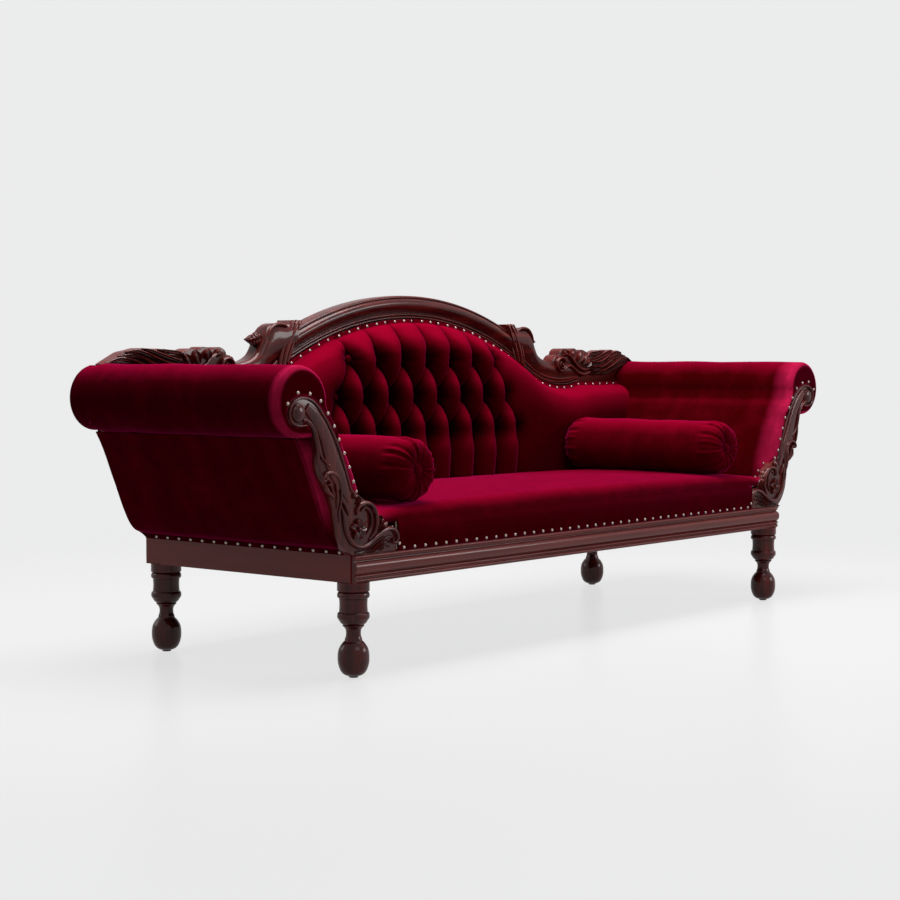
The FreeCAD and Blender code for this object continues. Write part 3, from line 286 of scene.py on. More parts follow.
# Crest arch: the camel-back top rail of polished mahogany. A double bead borders the velvet, then
# come a quirk and a broad rounded band, and it is bent over the buttoned back in one sweep.
arch_middle, arch_radius = Vector((0, 0.332, -0.236)), 1.085
crest_line = flowing(trace((-140, 3120), (-140, 3120), (0, 3120), (0, 3120), (2, 3060), (20, 3028),
    (38, 3022), (58, 3032), (78, 3068), (78, 3068), (94, 3036), (114, 3022), (134, 3030), (156, 3070),
    (156, 3070), (185, 3088), (185, 3088), (235, 3058), (300, 2995), (375, 2955), (450, 2948),
    (520, 2978), (560, 3022), (560, 3022), (575, 3048), (595, 3030), (625, 3034), (645, 3060),
    (650, 3100), (650, 3420), (640, 3485), (590, 3520), (590, 3520), (-140, 3520), (-140, 3520),
    (-140, 3120)), 3)
crest_front, crest_rear, board_face = 0.312, 0.352, 0.3035
collar_low, collar_high = Vector((0.497, 0, 0.712)), Vector((0.451, 0, 0.838))
reach = asin(collar_low.x / arch_radius) + 0.02
bm = bmesh.new()
spun(bm, [(arch_middle.x - (arch_radius + height) * sin(reach), depth,
    arch_middle.z + (arch_radius + height) * cos(reach)) for height, depth in crest_line],
    arch_middle, (0, 1, 0), 120, degrees(2 * reach))
across = (collar_high - collar_low).normalized()
for side in (1, -1):
    bmesh.ops.bisect_plane(bm, geom=bm.verts[:] + bm.edges[:] + bm.faces[:], clear_outer=True,
        plane_co=(side * collar_low.x, 0, collar_low.z), plane_no=(side * across.z, 0, -across.x))
bmesh.ops.remove_doubles(bm, verts=bm.verts, dist=0.00002)
bmesh.ops.holes_fill(bm, edges=[e for e in bm.edges if e.is_boundary])
piece("crest_rail_arch", bm, polished_along, ["crest_arch"], sharp=48)

# Crest shoulders: each is one carved board that carries the beads on from the arch, through a
# leaf-shaped ear and a hollow, to the arm. A double-banded collar covers the joint with the arch.
hollow_x, hollow_radius = 0.735, 0.372
hollow_z = arch_middle.z + sqrt((arch_radius + hollow_radius) ** 2 - hollow_x ** 2)
turn_x = arch_radius * hollow_x / (arch_radius + hollow_radius)
bead_end = 0.822
tail_z = hollow_z - sqrt(hollow_radius ** 2 - (bead_end - hollow_x) ** 2)


def crest_edge(x):
    """Height of the crest's lower edge, where the velvet is nailed."""
    x = abs(x)
    if x <= turn_x:
        return arch_middle.z + sqrt(arch_radius ** 2 - x * x)
    if x < bead_end:
        return hollow_z - sqrt(hollow_radius ** 2 - (x - hollow_x) ** 2)
    return tail_z


def skin(bm, rings, closed=True):
    """Surface laid as a grid and drawn over rings of points; closed rings get end faces too."""
    rows = [list(ring) + [ring[0]] if closed else list(ring) for ring in rings]
    laid = bmesh.ops.create_grid(bm, x_segments=len(rows[0]) - 1, y_segments=len(rows) - 1,
        size=1)["verts"]
    for vert, place in zip(laid, [p for row in rows for p in row]):
        vert.co = place
    if closed:
        width = len(rows[0])
        pairs = {laid[k * width + width - 1]: laid[k * width] for k in range(len(rows))}
        bmesh.ops.weld_verts(bm, targetmap=pairs)
        for k in (0, len(rows) - 1):
            bmesh.ops.contextual_create(bm, geom=laid[k * width:(k + 1) * width - 1])


def ridge(bm, path, widths, heights, base, profile, steps=5):
    """Carved rib along a path in the XZ plane; widths and heights run from its start to its tip."""
    line = flowing(path, steps)
    count = len(line)
    rings = []
    for i, p in enumerate(line):
        ahead = (line[min(i + 1, count - 1)] - line[max(i - 1, 0)]).normalized()
        w, h = (pick(values, i / (count - 1)) for values in (widths, heights))
        rings.append([(p.x + ahead.y * w * a, base - (h * up if up > 0 else 0.004 * up),
            p.y - ahead.x * w * a) for a, up in profile])
    skin(bm, rings)


cord_rib = [(cos(pi * k / 5), sin(pi * k / 5) * (1 if k < 6 else 0.75)) for k in range(10)]


def pick(values, t):
    """Value at a share of the way along a list."""
    at = t * (len(values) - 1)
    k = min(int(at), len(values) - 2)
    return values[k] + (values[k + 1] - values[k]) * (at - k)


def slab(bm, outline, front, rear, rounding, steps):
    """Flat board with a closed outline in the XZ plane and softly rounded front edges."""
    line = flowing(list(outline) + [outline[0]], steps)[:-1]
    lid = block(bm, [(p.x, rear, p.y) for p in line], 1, front)
    bmesh.ops.bevel(bm, geom=list(lid.edges), offset=rounding, segments=3, profile=0.5, affect="EDGES",
        material=-1, clamp_overlap=True)


def twins(name, bm, finish, replaced, sharp):
    """A right-hand piece and its mirror image on the left."""
    made = []
    for side, sign in (("right", 1), ("left", -1)):
        copy = bm.copy()
        bmesh.ops.scale(copy, vec=(sign, 1, 1), verts=copy.verts)
        made.append(piece(f"{name}_{side}", copy, finish, [r.format(side) for r in replaced],
            sharp=sharp))
    bm.free()
    return made


def shoulder_section(t):
    """Beads along the velvet, then a broad swelling that flattens towards the scroll.

    Each point is a share of the way from the lower edge to the upper, a distance past it, a depth."""
    swell = 0.02 * (1 - t) + 0.008 * t
    beads = [(0.0, h, y) for h, y in crest_line if -0.02 < h < 0.0188 and y < 0.3525]
    swelling = [(share, 0.0, crest_front - rise * swell) for share, rise in ((0.4, 0.7), (0.52, 0.97),
        (0.66, 1), (0.8, 0.93), (0.9, 0.72), (0.965, 0.42))]
    return (beads[:-2] + [(0.3, 0.0, board_face)] + swelling + [(0.995, 0.0, 0.311), (1.0, 0.0, 0.316),
        (1.0, 0.0, 0.344), (0.97, 0.0, crest_rear), (0.0, -0.014, crest_rear)])


ear = [(4935, 4560, 8330), (5070, 4900, 8320), (5220, 5150, 8270), (5370, 5400, 8295),
    (5520, 5620, 8235), (5680, 5790, 8060), (5860, 5930, 7760), (6080, 6100, 7490), (6340, 6360, 7340),
    (6640, 6660, 7265), (7000, 7020, 7200), (7400, 7400, 7160), (7800, 7800, 7130), (8220, 8220, 7100)]
lower = flowing([(x / 10000, crest_edge(x / 10000)) for x, top_x, top_z in ear], 6)
upper = flowing([(top_x / 10000, top_z / 10000) for x, top_x, top_z in ear], 6)
rings = []
for i, (low, high) in enumerate(zip(lower, upper)):
    across = high - low
    ring = []
    for share, offset, depth in shoulder_section(i / (len(lower) - 1)):
        at = low + across * share + across / across.length * offset
        ring.append((at.x, depth, at.y))
    rings.append(ring)
bm = bmesh.new()
skin(bm, rings)
slab(bm, [(0.81, tail_z - 0.012), (0.81, tail_z - 0.012), (1.127, tail_z - 0.008),
    (1.127, tail_z - 0.008), (1.127, 0.7), (1.127, 0.7), (0.81, 0.712), (0.81, 0.712)], crest_front,
    crest_rear, 0.002, 1)
for shift, width, lift in ((0.006, 0.006, 0.0105), (0.02, 0.0075, 0.0135), (0.034, 0.0055, 0.0095)):
    foot = collar_low.x + shift
    ridge(bm, [(collar_high.x + shift - 0.004, 0.8365), (collar_high.x + shift + 0.003, 0.825),
        (0.474 + shift, 0.79), (0.492 + shift, 0.752),
        (foot + 0.004, crest_edge(foot + 0.004) + 0.003)], [width * 0.8, width, width, width * 0.9],
        [lift * 0.8, lift, lift, lift * 0.85], board_face, cord_rib)
slab(bm, trace((4490, 8380), (4490, 8380), (4900, 8380), (4900, 8380), (5030, 8000), (5300, 7400),
    (5375, 7085), (5375, 7085), (4905, 7330), (4905, 7330), (4740, 7750)), 0.301, 0.3515, 0.003, 3)
ridge(bm, trace((5000, 8170), (5140, 8245), (5360, 8275), (5570, 8225), (5740, 8060), (5860, 7830)),
    sizes(20, 42, 45, 45, 40, 20), sizes(30, 60, 70, 70, 60, 30), 0.3015, cord_rib)
for lift in (0.0, 1.0):
    ridge(bm, [(0.54, 0.718 + 0.012 * lift), (0.562, 0.702 + 0.012 * lift),
        (0.598, 0.684 + 0.011 * lift), (0.64, 0.67 + 0.0105 * lift), (0.69, 0.6625 + 0.0095 * lift),
        (0.745, 0.662 + 0.0075 * lift), (0.79, 0.667 + 0.006 * lift), (0.822, 0.674 + 0.004 * lift)],
        sizes(25, 32, 35, 35, 33, 30), sizes(35, 55, 62, 62, 55, 40), 0.3055, cord_rib)
twins("crest_shoulder_carved", bm, polished_along, ["crest_shoulder_{}"], 42)

# Finials: a small turned and fluted bud, doweled into the edge of each ear. It points outwards,
# with three beads behind its tip.
bm = bmesh.new()
bud = flowing(trace((0, 0), (0, 0), (0, 150), (0, 150), (20, 185), (55, 190), (85, 150), (85, 150),
    (105, 172), (140, 165), (165, 120), (165, 120), (185, 138), (220, 125), (245, 85), (245, 85),
    (270, 100), (310, 82), (400, 40), (470, 12), (480, 0)), 3)
bud_x, bud_y, bud_z = 0.588, 0.332, 0.786
spun(bm, [(bud_x + p.x, bud_y, bud_z + p.y) for p in bud], (bud_x, bud_y, bud_z), (1, 0, 0), steps=48)
for vert in bm.verts:
    along = vert.co.x - bud_x
    spin = atan2(vert.co.y - bud_y, vert.co.z - bud_z)
    flute = 1 + 0.1 * sin(6 * spin + along * 170) * min(1.0, along / 0.006)
    vert.co.y = bud_y + (vert.co.y - bud_y) * flute
    vert.co.z = bud_z + (vert.co.z - bud_z) * flute
other = bmesh.ops.duplicate(bm, geom=bm.verts[:] + bm.edges[:] + bm.faces[:])["geom"]
bmesh.ops.scale(bm, vec=(-1, 1, 1),
    verts=[item for item in other if isinstance(item, bmesh.types.BMVert)])
piece("bud_finials", bm, polished_along, ["crest_finials"], sharp=60)

# Crest scrolls: a carved scroll with a lobed top edge lies in the hollow of each shoulder. Its
# volute curls in to a small eye, and each lobe is hollowed like a petal.
scroll_face, carving_back = 0.3045, 0.346
round_rib = [(cos(pi * k / 8), sin(pi * k / 8)) for k in range(9)] + [(-0.9, -0.8), (0.9, -0.8)]
leaf_rib = [(1.0, 0.0), (0.92, 0.62), (0.74, 0.72), (0.52, 0.34), (0.26, 0.3), (0.1, 0.72), (0.0, 0.95),
    (-0.1, 0.72), (-0.26, 0.3), (-0.52, 0.34), (-0.74, 0.72), (-0.92, 0.62), (-1.0, 0.0), (-0.9, -0.8),
    (0.9, -0.8)]
petal = [(1.0, 0.0), (0.94, 0.7), (0.8, 1.0), (0.6, 0.78), (0.3, 0.5), (0.0, 0.42), (-0.3, 0.5),
    (-0.6, 0.78), (-0.8, 1.0), (-0.94, 0.7), (-1.0, 0.0), (-0.9, -0.8), (0.9, -0.8)]


def dome(bm, x, z, radius, base, height, around=28, down=16):
    """Round boss standing on a face."""
    return bmesh.ops.create_uvsphere(bm, u_segments=around, v_segments=down, radius=1,
        matrix=(Matrix.Translation((x, base, z))
        @ Matrix.Diagonal((radius, height, radius, 1))))["verts"]


bm = bmesh.new()
slab(bm, trace((6890, 7000), (6900, 7220), (6990, 7360), (7120, 7440), (7240, 7470), (7285, 7560),
    (7450, 7650), (7630, 7640), (7755, 7560), (7755, 7560), (7920, 7645), (8100, 7655), (8235, 7570),
    (8235, 7570), (8420, 7620), (8620, 7590), (8820, 7480), (8890, 7380), (8890, 7380), (8890, 6980),
    (8890, 6980), (8620, 6850), (8350, 6870), (8000, 6940), (7720, 7040), (7380, 6930), (7060, 6940)),
    scroll_face, carving_back, 0.0025, 4)
ridge(bm, trace((7380, 7160), (7320, 7235), (7225, 7220), (7195, 7130), (7265, 7050), (7385, 7050),
    (7455, 7140), (7440, 7270), (7340, 7355), (7200, 7355), (7085, 7270), (7060, 7130), (7120, 7010),
    (7260, 6945), (7440, 6975), (7600, 7075), (7780, 7110), (8000, 7010), (8260, 6880), (8560, 6835),
    (8860, 6900)), sizes(22, 36, 44, 52, 56, 56, 54, 50, 50), sizes(100, 110, 125, 135, 135, 120, 100,
    80, 60), scroll_face, round_rib)
dome(bm, 0.7325, 0.715, 0.006, scroll_face, 0.0155)
ridge(bm, trace((7420, 7440), (7600, 7480), (7780, 7400), (7960, 7240), (8200, 7080), (8500, 6990),
    (8840, 7010)), sizes(30, 46, 52, 54, 52, 44, 30), sizes(50, 85, 105, 105, 100, 80, 50), scroll_face,
    round_rib)
for stem, tip, width in (
        ((0.716, 0.73), (0.716, 0.744), 0.008), ((0.758, 0.74), (0.748, 0.761), 0.011),
        ((0.79, 0.733), (0.7945, 0.761), 0.012), ((0.822, 0.723), (0.838, 0.757), 0.013),
        ((0.848, 0.716), (0.87, 0.747), 0.012), ((0.866, 0.708), (0.887, 0.726), 0.0085)):
    middle = ((stem[0] + tip[0]) / 2 + 0.002, (stem[1] + tip[1]) / 2)
    ridge(bm, [stem, middle, tip], [width * 0.35, width * 0.85, width, width * 0.85, width * 0.35],
        sizes(40, 90, 120, 105, 30), scroll_face, petal, 4)
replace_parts(twins("crest_scroll_carved", bm, polished_along, [], 46)[0], "crest_scrolls")

# Crest plumes: a long acanthus leaf sweeps from each scroll down towards the arm. Its ribs are
# hollowed blades that overlap and turn up at their tips.
bm = bmesh.new()
plume_face = 0.306
slab(bm, trace((8860, 6980), (8860, 7400), (9050, 7520), (9320, 7560), (9550, 7610), (9840, 7600),
    (10100, 7625), (10400, 7570), (10660, 7520), (10920, 7400), (11270, 7230), (11270, 7230),
    (11200, 7100), (11000, 7020), (10600, 6960), (10200, 6890), (9800, 6860), (9400, 6830),
    (9100, 6850)), plume_face, carving_back, 0.0025, 4)
for path, width, lift in (
        (trace((8680, 7360), (8900, 7470), (9250, 7510), (9600, 7580)), 0.0085, 0.012),
        (trace((8740, 7250), (9050, 7290), (9450, 7390), (9850, 7520), (10120, 7600)), 0.0095, 0.014),
        (trace((8720, 7130), (9100, 7140), (9550, 7260), (10000, 7420), (10350, 7520),
            (10660, 7520)), 0.01, 0.015),
        (trace((8740, 7010), (9150, 6995), (9600, 7120), (10050, 7290), (10450, 7410),
            (10900, 7410)), 0.01, 0.015),
        (trace((8850, 6890), (9250, 6885), (9650, 6985), (10100, 7150), (10550, 7290),
            (10950, 7320), (11260, 7235)), 0.0095, 0.014),
        (trace((9400, 6860), (9750, 6905), (10200, 7030), (10650, 7150), (11180, 7165)), 0.008, 0.011)):
    ridge(bm, path, [width * 0.3, width * 0.75, width, width, width * 0.85, width * 0.25],
        [lift * 0.5, lift * 0.9, lift, lift * 0.9, lift * 0.8, lift * 0.35], plume_face, leaf_rib, 5)
for path in (
        trace((8960, 7220), (9300, 7250), (9700, 7370), (10000, 7500)),
        trace((9000, 7070), (9400, 7090), (9850, 7240), (10300, 7430)),
        trace((9060, 6940), (9500, 6965), (9950, 7110), (10400, 7300), (10700, 7370))):
    ridge(bm, path, sizes(12, 26, 28, 22, 8), sizes(120, 165, 170, 150, 80), plume_face, round_rib, 5)
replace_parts(twins("crest_plume_carved", bm, polished_along, [], 46)[0], "crest_plumes")

# Arm facings: a carved mahogany board closes the front of each scrolled arm. It has a rimmed boss
# at the top, a swept panel, a scroll, and a rosette in a leafy frame down by the seat rail.
bm = bmesh.new()
face_y, face_back = -0.3455, -0.3242
facing_outline = trace((8060, 2860), (8060, 2860), (8060, 3300), (8200, 3450), (8410, 3460),
    (8410, 3460), (8480, 3600), (8620, 3720), (8620, 3720), (8800, 3760), (8900, 3940), (8900, 3940),
    (9140, 4100), (9440, 4280), (9570, 4360), (9700, 4660), (9930, 5200), (10200, 5700), (10500, 6120),
    (10830, 6430), (11220, 6550), (11570, 6450), (11710, 6180), (11630, 5950), (11380, 5860),
    (11140, 5960), (11140, 5960), (10870, 5710), (10730, 5320), (10740, 4950), (10600, 4660),
    (10600, 4660), (10340, 4280), (10170, 3920), (10170, 3920), (10060, 3380), (9840, 3040),
    (9600, 2860), (9600, 2860))
slab(bm, facing_outline, face_y, face_back, 0.002, 4)
ridge(bm, trace((11100, 6300), (10900, 6130), (10680, 5890), (10490, 5600), (10360, 5280),
    (10240, 4990), (10040, 4680), (9860, 4400), (9680, 4120)), sizes(110, 155, 170, 175, 200, 230, 210,
    130, 60), sizes(46, 52, 56, 56, 56, 52, 46, 40, 20), face_y, [(1.0, 0.0), (0.97, 0.55),
    (0.85, 0.86), (0.55, 0.98), (0.0, 1.0), (-0.55, 0.98), (-0.85, 0.86), (-0.97, 0.55), (-1.0, 0.0),
    (-0.9, -0.8), (0.9, -0.8)])
ridge(bm, trace((11130, 5895), (11400, 5890), (11590, 5980), (11665, 6180), (11540, 6405),
    (11200, 6505), (10855, 6400), (10535, 6085), (10240, 5680), (9980, 5200), (9755, 4660),
    (9620, 4360), (9530, 4290)), sizes(28, 34, 36, 36, 36, 36, 36, 35, 33, 30, 28, 24),
    sizes(60, 72, 80, 70, 45, 38, 38, 38, 38, 30), face_y, round_rib, 6)
dome(bm, 1.137, 0.617, 0.0215, face_y, 0.0105)
ridge(bm, trace((11225, 6010), (11100, 5990), (10960, 5880), (10830, 5700), (10765, 5480),
    (10720, 5300), (10630, 5160), (10430, 4985)), sizes(40, 50, 52, 48, 44, 40, 32, 22),
    sizes(65, 85, 85, 80, 78, 75, 70, 65), face_y, round_rib, 6)
dome(bm, 1.0415, 0.497, 0.0042, face_y, 0.0085)
ridge(bm, trace((10850, 5650), (10755, 5390), (10735, 5110), (10670, 4860), (10600, 4690)),
    sizes(14, 26, 30, 28, 18), sizes(30, 55, 60, 60, 40), face_y, round_rib, 5)
ridge(bm, trace((10470, 4560), (10390, 4530), (10385, 4620), (10480, 4670), (10570, 4620),
    (10595, 4660), (10545, 4750), (10430, 4810), (10290, 4800), (10150, 4730), (10040, 4570),
    (9990, 4330), (10010, 4100), (10060, 3860), (10030, 3640)), sizes(20, 30, 36, 42, 46, 48, 46, 40,
    30, 16), sizes(70, 85, 95, 100, 100, 95, 85, 70, 55, 30), face_y, round_rib, 6)
for path, width in ((trace((10500, 4560), (10440, 4400), (10300, 4290), (10190, 4180)), 0.004),
        (trace((10340, 4620), (10330, 4480), (10250, 4340), (10170, 4250)), 0.0032),
        (trace((10170, 4620), (10140, 4420), (10110, 4180), (10120, 3960)), 0.0042),
        (trace((9940, 4130), (9860, 4020), (9790, 3900), (9730, 3800)), 0.003)):
    ridge(bm, path, [width * 0.4, width, width, width * 0.3], sizes(40, 75, 70, 30), face_y,
        round_rib, 4)
ridge(bm, trace((10000, 4050), (9920, 3850), (9875, 3600), (9790, 3360), (9600, 3140), (9370, 3055),
    (9080, 3095), (8800, 3240), (8520, 3370), (8290, 3405), (8110, 3330), (8040, 3200), (8100, 3080),
    (8200, 3090), (8190, 3180)), sizes(20, 40, 48, 52, 54, 54, 52, 50, 46, 40, 34, 26),
    sizes(40, 70, 85, 95, 98, 98, 95, 90, 85, 80, 75, 60), face_y, round_rib, 6)
ridge(bm, trace((9450, 3790), (9455, 3900), (9370, 4010), (9210, 4060), (9010, 4020), (8860, 3880),
    (8790, 3700), (8790, 3520), (8880, 3330), (9030, 3200)), sizes(30, 42, 48, 50, 50, 46, 42, 36, 24),
    sizes(60, 85, 98, 100, 98, 90, 80, 65, 40), face_y, round_rib, 6)
ridge(bm, trace((9320, 3880), (9200, 3950), (9060, 3890), (8975, 3730), (8990, 3510), (9120, 3340)),
    sizes(20, 32, 36, 36, 30, 18), sizes(50, 75, 80, 80, 70, 40), face_y, round_rib, 6)
rose_x, rose_z = 0.941, 0.346
for turn in range(5):
    aim = radians(90 + 72 * turn)
    ridge(bm, [(rose_x + out * cos(aim), rose_z + out * sin(aim)) for out in (0.004, 0.014, 0.026)],
        sizes(30, 74, 100, 92, 30), sizes(45, 85, 105, 95, 30), face_y, petal, 4)
dome(bm, rose_x, rose_z, 0.0056, face_y, 0.0125)
for path, width, lift in (
        (trace((9500, 4060), (9420, 4060), (9390, 4140), (9450, 4210), (9560, 4200), (9600, 4300)),
            0.0036, 0.009),
        (trace((8880, 4000), (8900, 3920), (8830, 3830), (8760, 3780)), 0.005, 0.008),
        (trace((8660, 3460), (8680, 3580), (8640, 3680), (8700, 3730)), 0.005, 0.0085),
        (trace((8730, 3380), (8600, 3530), (8540, 3640)), 0.0046, 0.0085),
        (trace((8640, 3400), (8480, 3500), (8420, 3560)), 0.004, 0.007)):
    ridge(bm, path, [width * 0.5, width, width, width * 0.4], [lift * 0.5, lift, lift, lift * 0.5],
        face_y, leaf_rib, 5)
for path, width, lift in (
        (trace((9200, 2935), (8950, 3010), (8700, 3130), (8480, 3210), (8260, 3240)), 0.0062, 0.0085),
        (trace((9080, 2910), (8840, 2980), (8610, 3080), (8400, 3115), (8280, 3080)), 0.005, 0.0085),
        (trace((8960, 2895), (8720, 2945), (8500, 3000), (8300, 2985)), 0.0044, 0.0075),
        (trace((9500, 2925), (9260, 2950), (9000, 3030)), 0.0044, 0.006)):
    ridge(bm, path, [width * 0.5, width, width, width * 0.8, width * 0.35],
        [lift * 0.5, lift, lift, lift * 0.8, lift * 0.3], face_y, leaf_rib, 5)
twins("arm_facing_carved", bm, polished_upright, ["arm_facing_{}"], 46)

# Inside the seat and back: jute webbing strained over the rails, hessian, a felted filling, and a
# black cloth tacked under the seat to keep the dust out.
made, shader, where = finish_of("jute_webbing")
weft, warp = where.wave("X", 300.0, 1.0), where.wave("Y", 300.0, 1.0)
(weft * warp).blend((0.2, 0.12, 0.05, 1), (0.5, 0.36, 0.2, 1)).into(shader, "Base Color")
(0.75 + 0.15 * weft).into(shader, "Roughness")
(weft * 0.5 + warp * 0.5).bump(0.4, 0.001).into(shader, "Normal")
dress(["seat_webbing_long", "seat_webbing_cross", "back_webbing"], made)


def stuff(name, deep, pale, grain_of, strength=0.4, distance=0.001):
    """Plain inner material: its grain sets the colour, the roughness and the relief."""
    made, shader, where = finish_of(name)
    grain = grain_of(where)
    grain.blend(deep, pale).into(shader, "Base Color")
    (0.8 + 0.15 * grain).into(shader, "Roughness")
    grain.bump(strength, distance).into(shader, "Normal")
    return made


dress(["seat_hessian"], stuff("hessian", (0.3, 0.2, 0.1, 1), (0.55, 0.42, 0.26, 1),
    lambda where: where.noise(420.0)))
dress(["seat_padding"], stuff("felted_filling", (0.5, 0.46, 0.4, 1), (0.78, 0.74, 0.66, 1),
    lambda where: where.noise(90.0)))
black_cloth = stuff("dust_cloth", (0.01, 0.01, 0.011, 1), (0.03, 0.03, 0.032, 1),
    lambda where: where.wave("X", 500.0, 0.5), 0.3, 0.0004)


def cloth_grid(name, rows, finish, replaced, thick):
    """Stretched cloth laid as a grid over rows of points and given its thickness."""
    bm = bmesh.new()
    skin(bm, rows, closed=False)
    bmesh.ops.recalc_face_normals(bm, faces=bm.faces)
    bmesh.ops.solidify(bm, geom=bm.faces[:], thickness=thick)
    return piece(name, bm, finish, replaced)


low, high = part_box("dust_cover")
wide, deep, sag = high.x - low.x, high.y - low.y, 0.01
rows = [[(low.x + wide * i / 60, low.y + deep * k / 24,
    low.z + 0.0006 - sag * (sin(pi * k / 24) * sin(pi * i / 60)) ** 0.5)
    for i in range(61)] for k in range(25)]
made = cloth_grid("under_dust_cloth", rows, black_cloth, ["dust_cover"], 0.0008)

# Seat: sprung seat covered in crimson cotton velvet, pulled over a rolled front edge and nailed
# above the moulding. The velvet's colour has painted highlights at the edges and painted shade,
# near black, in the folds.


def velvet(name, sheen=0.5, reads_painted_light=False, painted_light_lift=0.0):
    """Short pile velvet with painted light: crimson on top, near black upright, pink highlights painted
    at front edges.
    """
    made, shader, where = finish_of(name, Sheen_Weight=sheen, Sheen_Roughness=0.3,
        Sheen_Tint=(1.0, 0.02, 0.26, 1), Specular_IOR_Level=0.0)
    brushed = where.stretched((0.6, 2.4, 1.0)).noise(6.0, 5.0, 0.62)
    patch = where.noise(24.0, 4.0, 0.6)
    pile = where.noise(900.0, 2.0, 0.6)
    upright = where.node("TexCoord", "Normal")
    upward, front = upright.part("Z"), upright.part("Y") * -1.0
    outward, forward, height = (where.part(axis) for axis in "XYZ")
    mark = ((brushed - 0.4) * 2.4).held() * 0.6 + ((patch - 0.42) * 2.4).held() * 0.4
    # Painted light: faces turned up are painted crimson and upright or downward ones near black; the
    # lift argument raises the whole for lighter copies.
    lit = (((upward - 0.47) * 1.88).held() ** 1.1 * 0.84 + mark * 0.4 - 0.1 + painted_light_lift).held()
    # Painted highlight: a pink sheen painted on the arms' front edges and roll ends, masked by height,
    # side, depth and facing.
    low = ((0.56 - height) * 25.0).held()
    inner = (upright.part("X") * outward * -5.0).held()
    zone = (((-0.316 + inner * 0.04 - forward) * (60.0 - inner * 41.0)).held()
        * ((outward * outward - 0.66) * 8.0).held() * ((height - 0.34) * 12.0).held())
    cap = ((front - 0.78) * 6.0).held()
    edge = zone * ((1.0 - cap) + low).held() * (0.35 + 0.65 * mark)
    # Painted shade: near black in creases and hollows, found from the curvature.
    curvature = where.node("NewGeometry", "Pointiness")
    painted_shade = ((0.488 - curvature) * 12.0).held()
    # On the back, painted fold shade darkens the creases and button pockets, and a painted highlight
    # lightens the tufts and the roll under the crest.
    if reads_painted_light:
        painted_shade = (painted_shade * 0.4 + where.node("Attribute", "Fac",
            {"attribute_name": "fold_depth"})).held()
        lit = (lit + where.node("Attribute", "Fac", {"attribute_name": "crown"})).held()
    tone = lit.blend((0.04, 0.0003, 0.0008, 1), (0.212, 0.0006, 0.0135, 1))
    # Pink painted highlight colour.
    tone = edge.blend(tone, (0.64, 0.016, 0.09, 1))
    tone = (pile * 0.4).blend(tone, (0.022, 0.0002, 0.0006, 1))
    (painted_shade * 0.9).blend(tone, (0.006, 0.0001, 0.0002, 1)).into(shader, "Base Color")
    (0.7 + 0.25 * pile).into(shader, "Roughness")
    (pile * 0.5 + where.noise(60.0, 3.0) * 0.5).bump(0.25, 0.0012).into(shader, "Normal")
    return made


def held(value):
    """The number kept between 0 and 1."""
    return max(0.0, min(1.0, value))


crimson = velvet("crimson_velvet")
seat_half, seat_rear, seat_front, seat_under, lip_top = 0.914, 0.226, -0.347, 0.2915, 0.2985
behind_facing, nail_row = -0.3225, 0.2925


def seat_top(x, y):
    """Height of the seat's top face, crowned along its middle."""
    s = min(1.0, abs(x) / seat_half)
    top = 0.392 - 0.014 * s ** 6 - 0.004 * s * s
    t = held((y - seat_front) / (seat_rear - seat_front))
    return top + 0.011 * (1 - 0.6 * s * s) * sin(pi * t) ** 0.8


def seat_ring(x):
    """Section of the seat from the nailed lip over the front roll, back and round underneath."""
    s = min(1.0, abs(x) / seat_half)
    nose = 0.048 * (1 - 0.6 * s ** 6)
    line = [(seat_front + 0.001, 0.287), (seat_front - 0.0022, 0.29), (seat_front - 0.0005, 0.2965)]
    crest = seat_top(x, seat_front + nose)
    for k in range(6):
        z = lip_top + (crest - nose - lip_top) * k / 5
        line.append((seat_front - 0.005 * sin(pi * k / 6) ** 0.7, z))
    for k in range(1, 13):
        a = pi / 2 * k / 12
        line.append((seat_front + nose - nose * cos(a), crest - nose + nose * sin(a)))
    for k in range(1, 41):
        y = seat_front + nose + (seat_rear - 0.012 - seat_front - nose) * k / 40
        line.append((y, seat_top(x, y)))
    line += [(seat_rear - 0.004, seat_top(x, seat_rear) - 0.003),
        (seat_rear, seat_top(x, seat_rear) - 0.012), (seat_rear, 0.33),
        (seat_rear, seat_under), (seat_front + 0.03, seat_under), (seat_front + 0.01, 0.289)]
    ring = []
    for y, z in line:
        if abs(x) > 0.8035 and y < behind_facing:
            y = behind_facing + (y - behind_facing) * held((z - 0.348) / 0.012)
        pull = 0.0
        if y < -0.34:
            pull = exp(-((z - nail_row) / 0.016) ** 2) * (0.5 - 0.5 * cos(2 * pi * x / 0.039))
        ripple = (0.0012 * noise.noise(Vector((x * 9, y * 9, z * 9)))
            + 0.0007 * noise.noise(Vector((x * 31, y * 12, 1.7))))
        ring.append((x, y - 0.0016 * pull, z + ripple))
    return ring


bm = bmesh.new()
skin(bm, [seat_ring(seat_half * (2 * k / 376 - 1)) for k in range(377)])
piece("seat_velvet", bm, crimson, ["seat_cover"], sharp=75)

# Arms: each sprung arm rises from the seat, leans out and ends in a fat velvet roll. Its front is
# rolled over a hard edge round the carved facing; a flat velvet panel closes the outside.
roll_x, roll_z, roll_r = 1.121, 0.642, 0.082
arm_inner = flowing(trace((9180, 2920), (9180, 2920), (9185, 3500), (9240, 4000), (9400, 4520),
    (9620, 5000), (9900, 5500), (10140, 5900), (10300, 6120), (10385, 6350), (10395, 6500)), 6)
arm_outer = flowing(trace((11210, 5600), (11000, 5600), (10780, 5585), (10520, 5300), (10250, 4900),
    (10000, 4400), (9780, 3800), (9620, 3350), (9500, 3000), (9500, 2920), (9500, 2920)), 4)


def smooth(low, high, value):
    """Share from 0 to 1 that eases in and out between two limits."""
    t = held((value - low) / (high - low))
    return t * t * (3 - 2 * t)


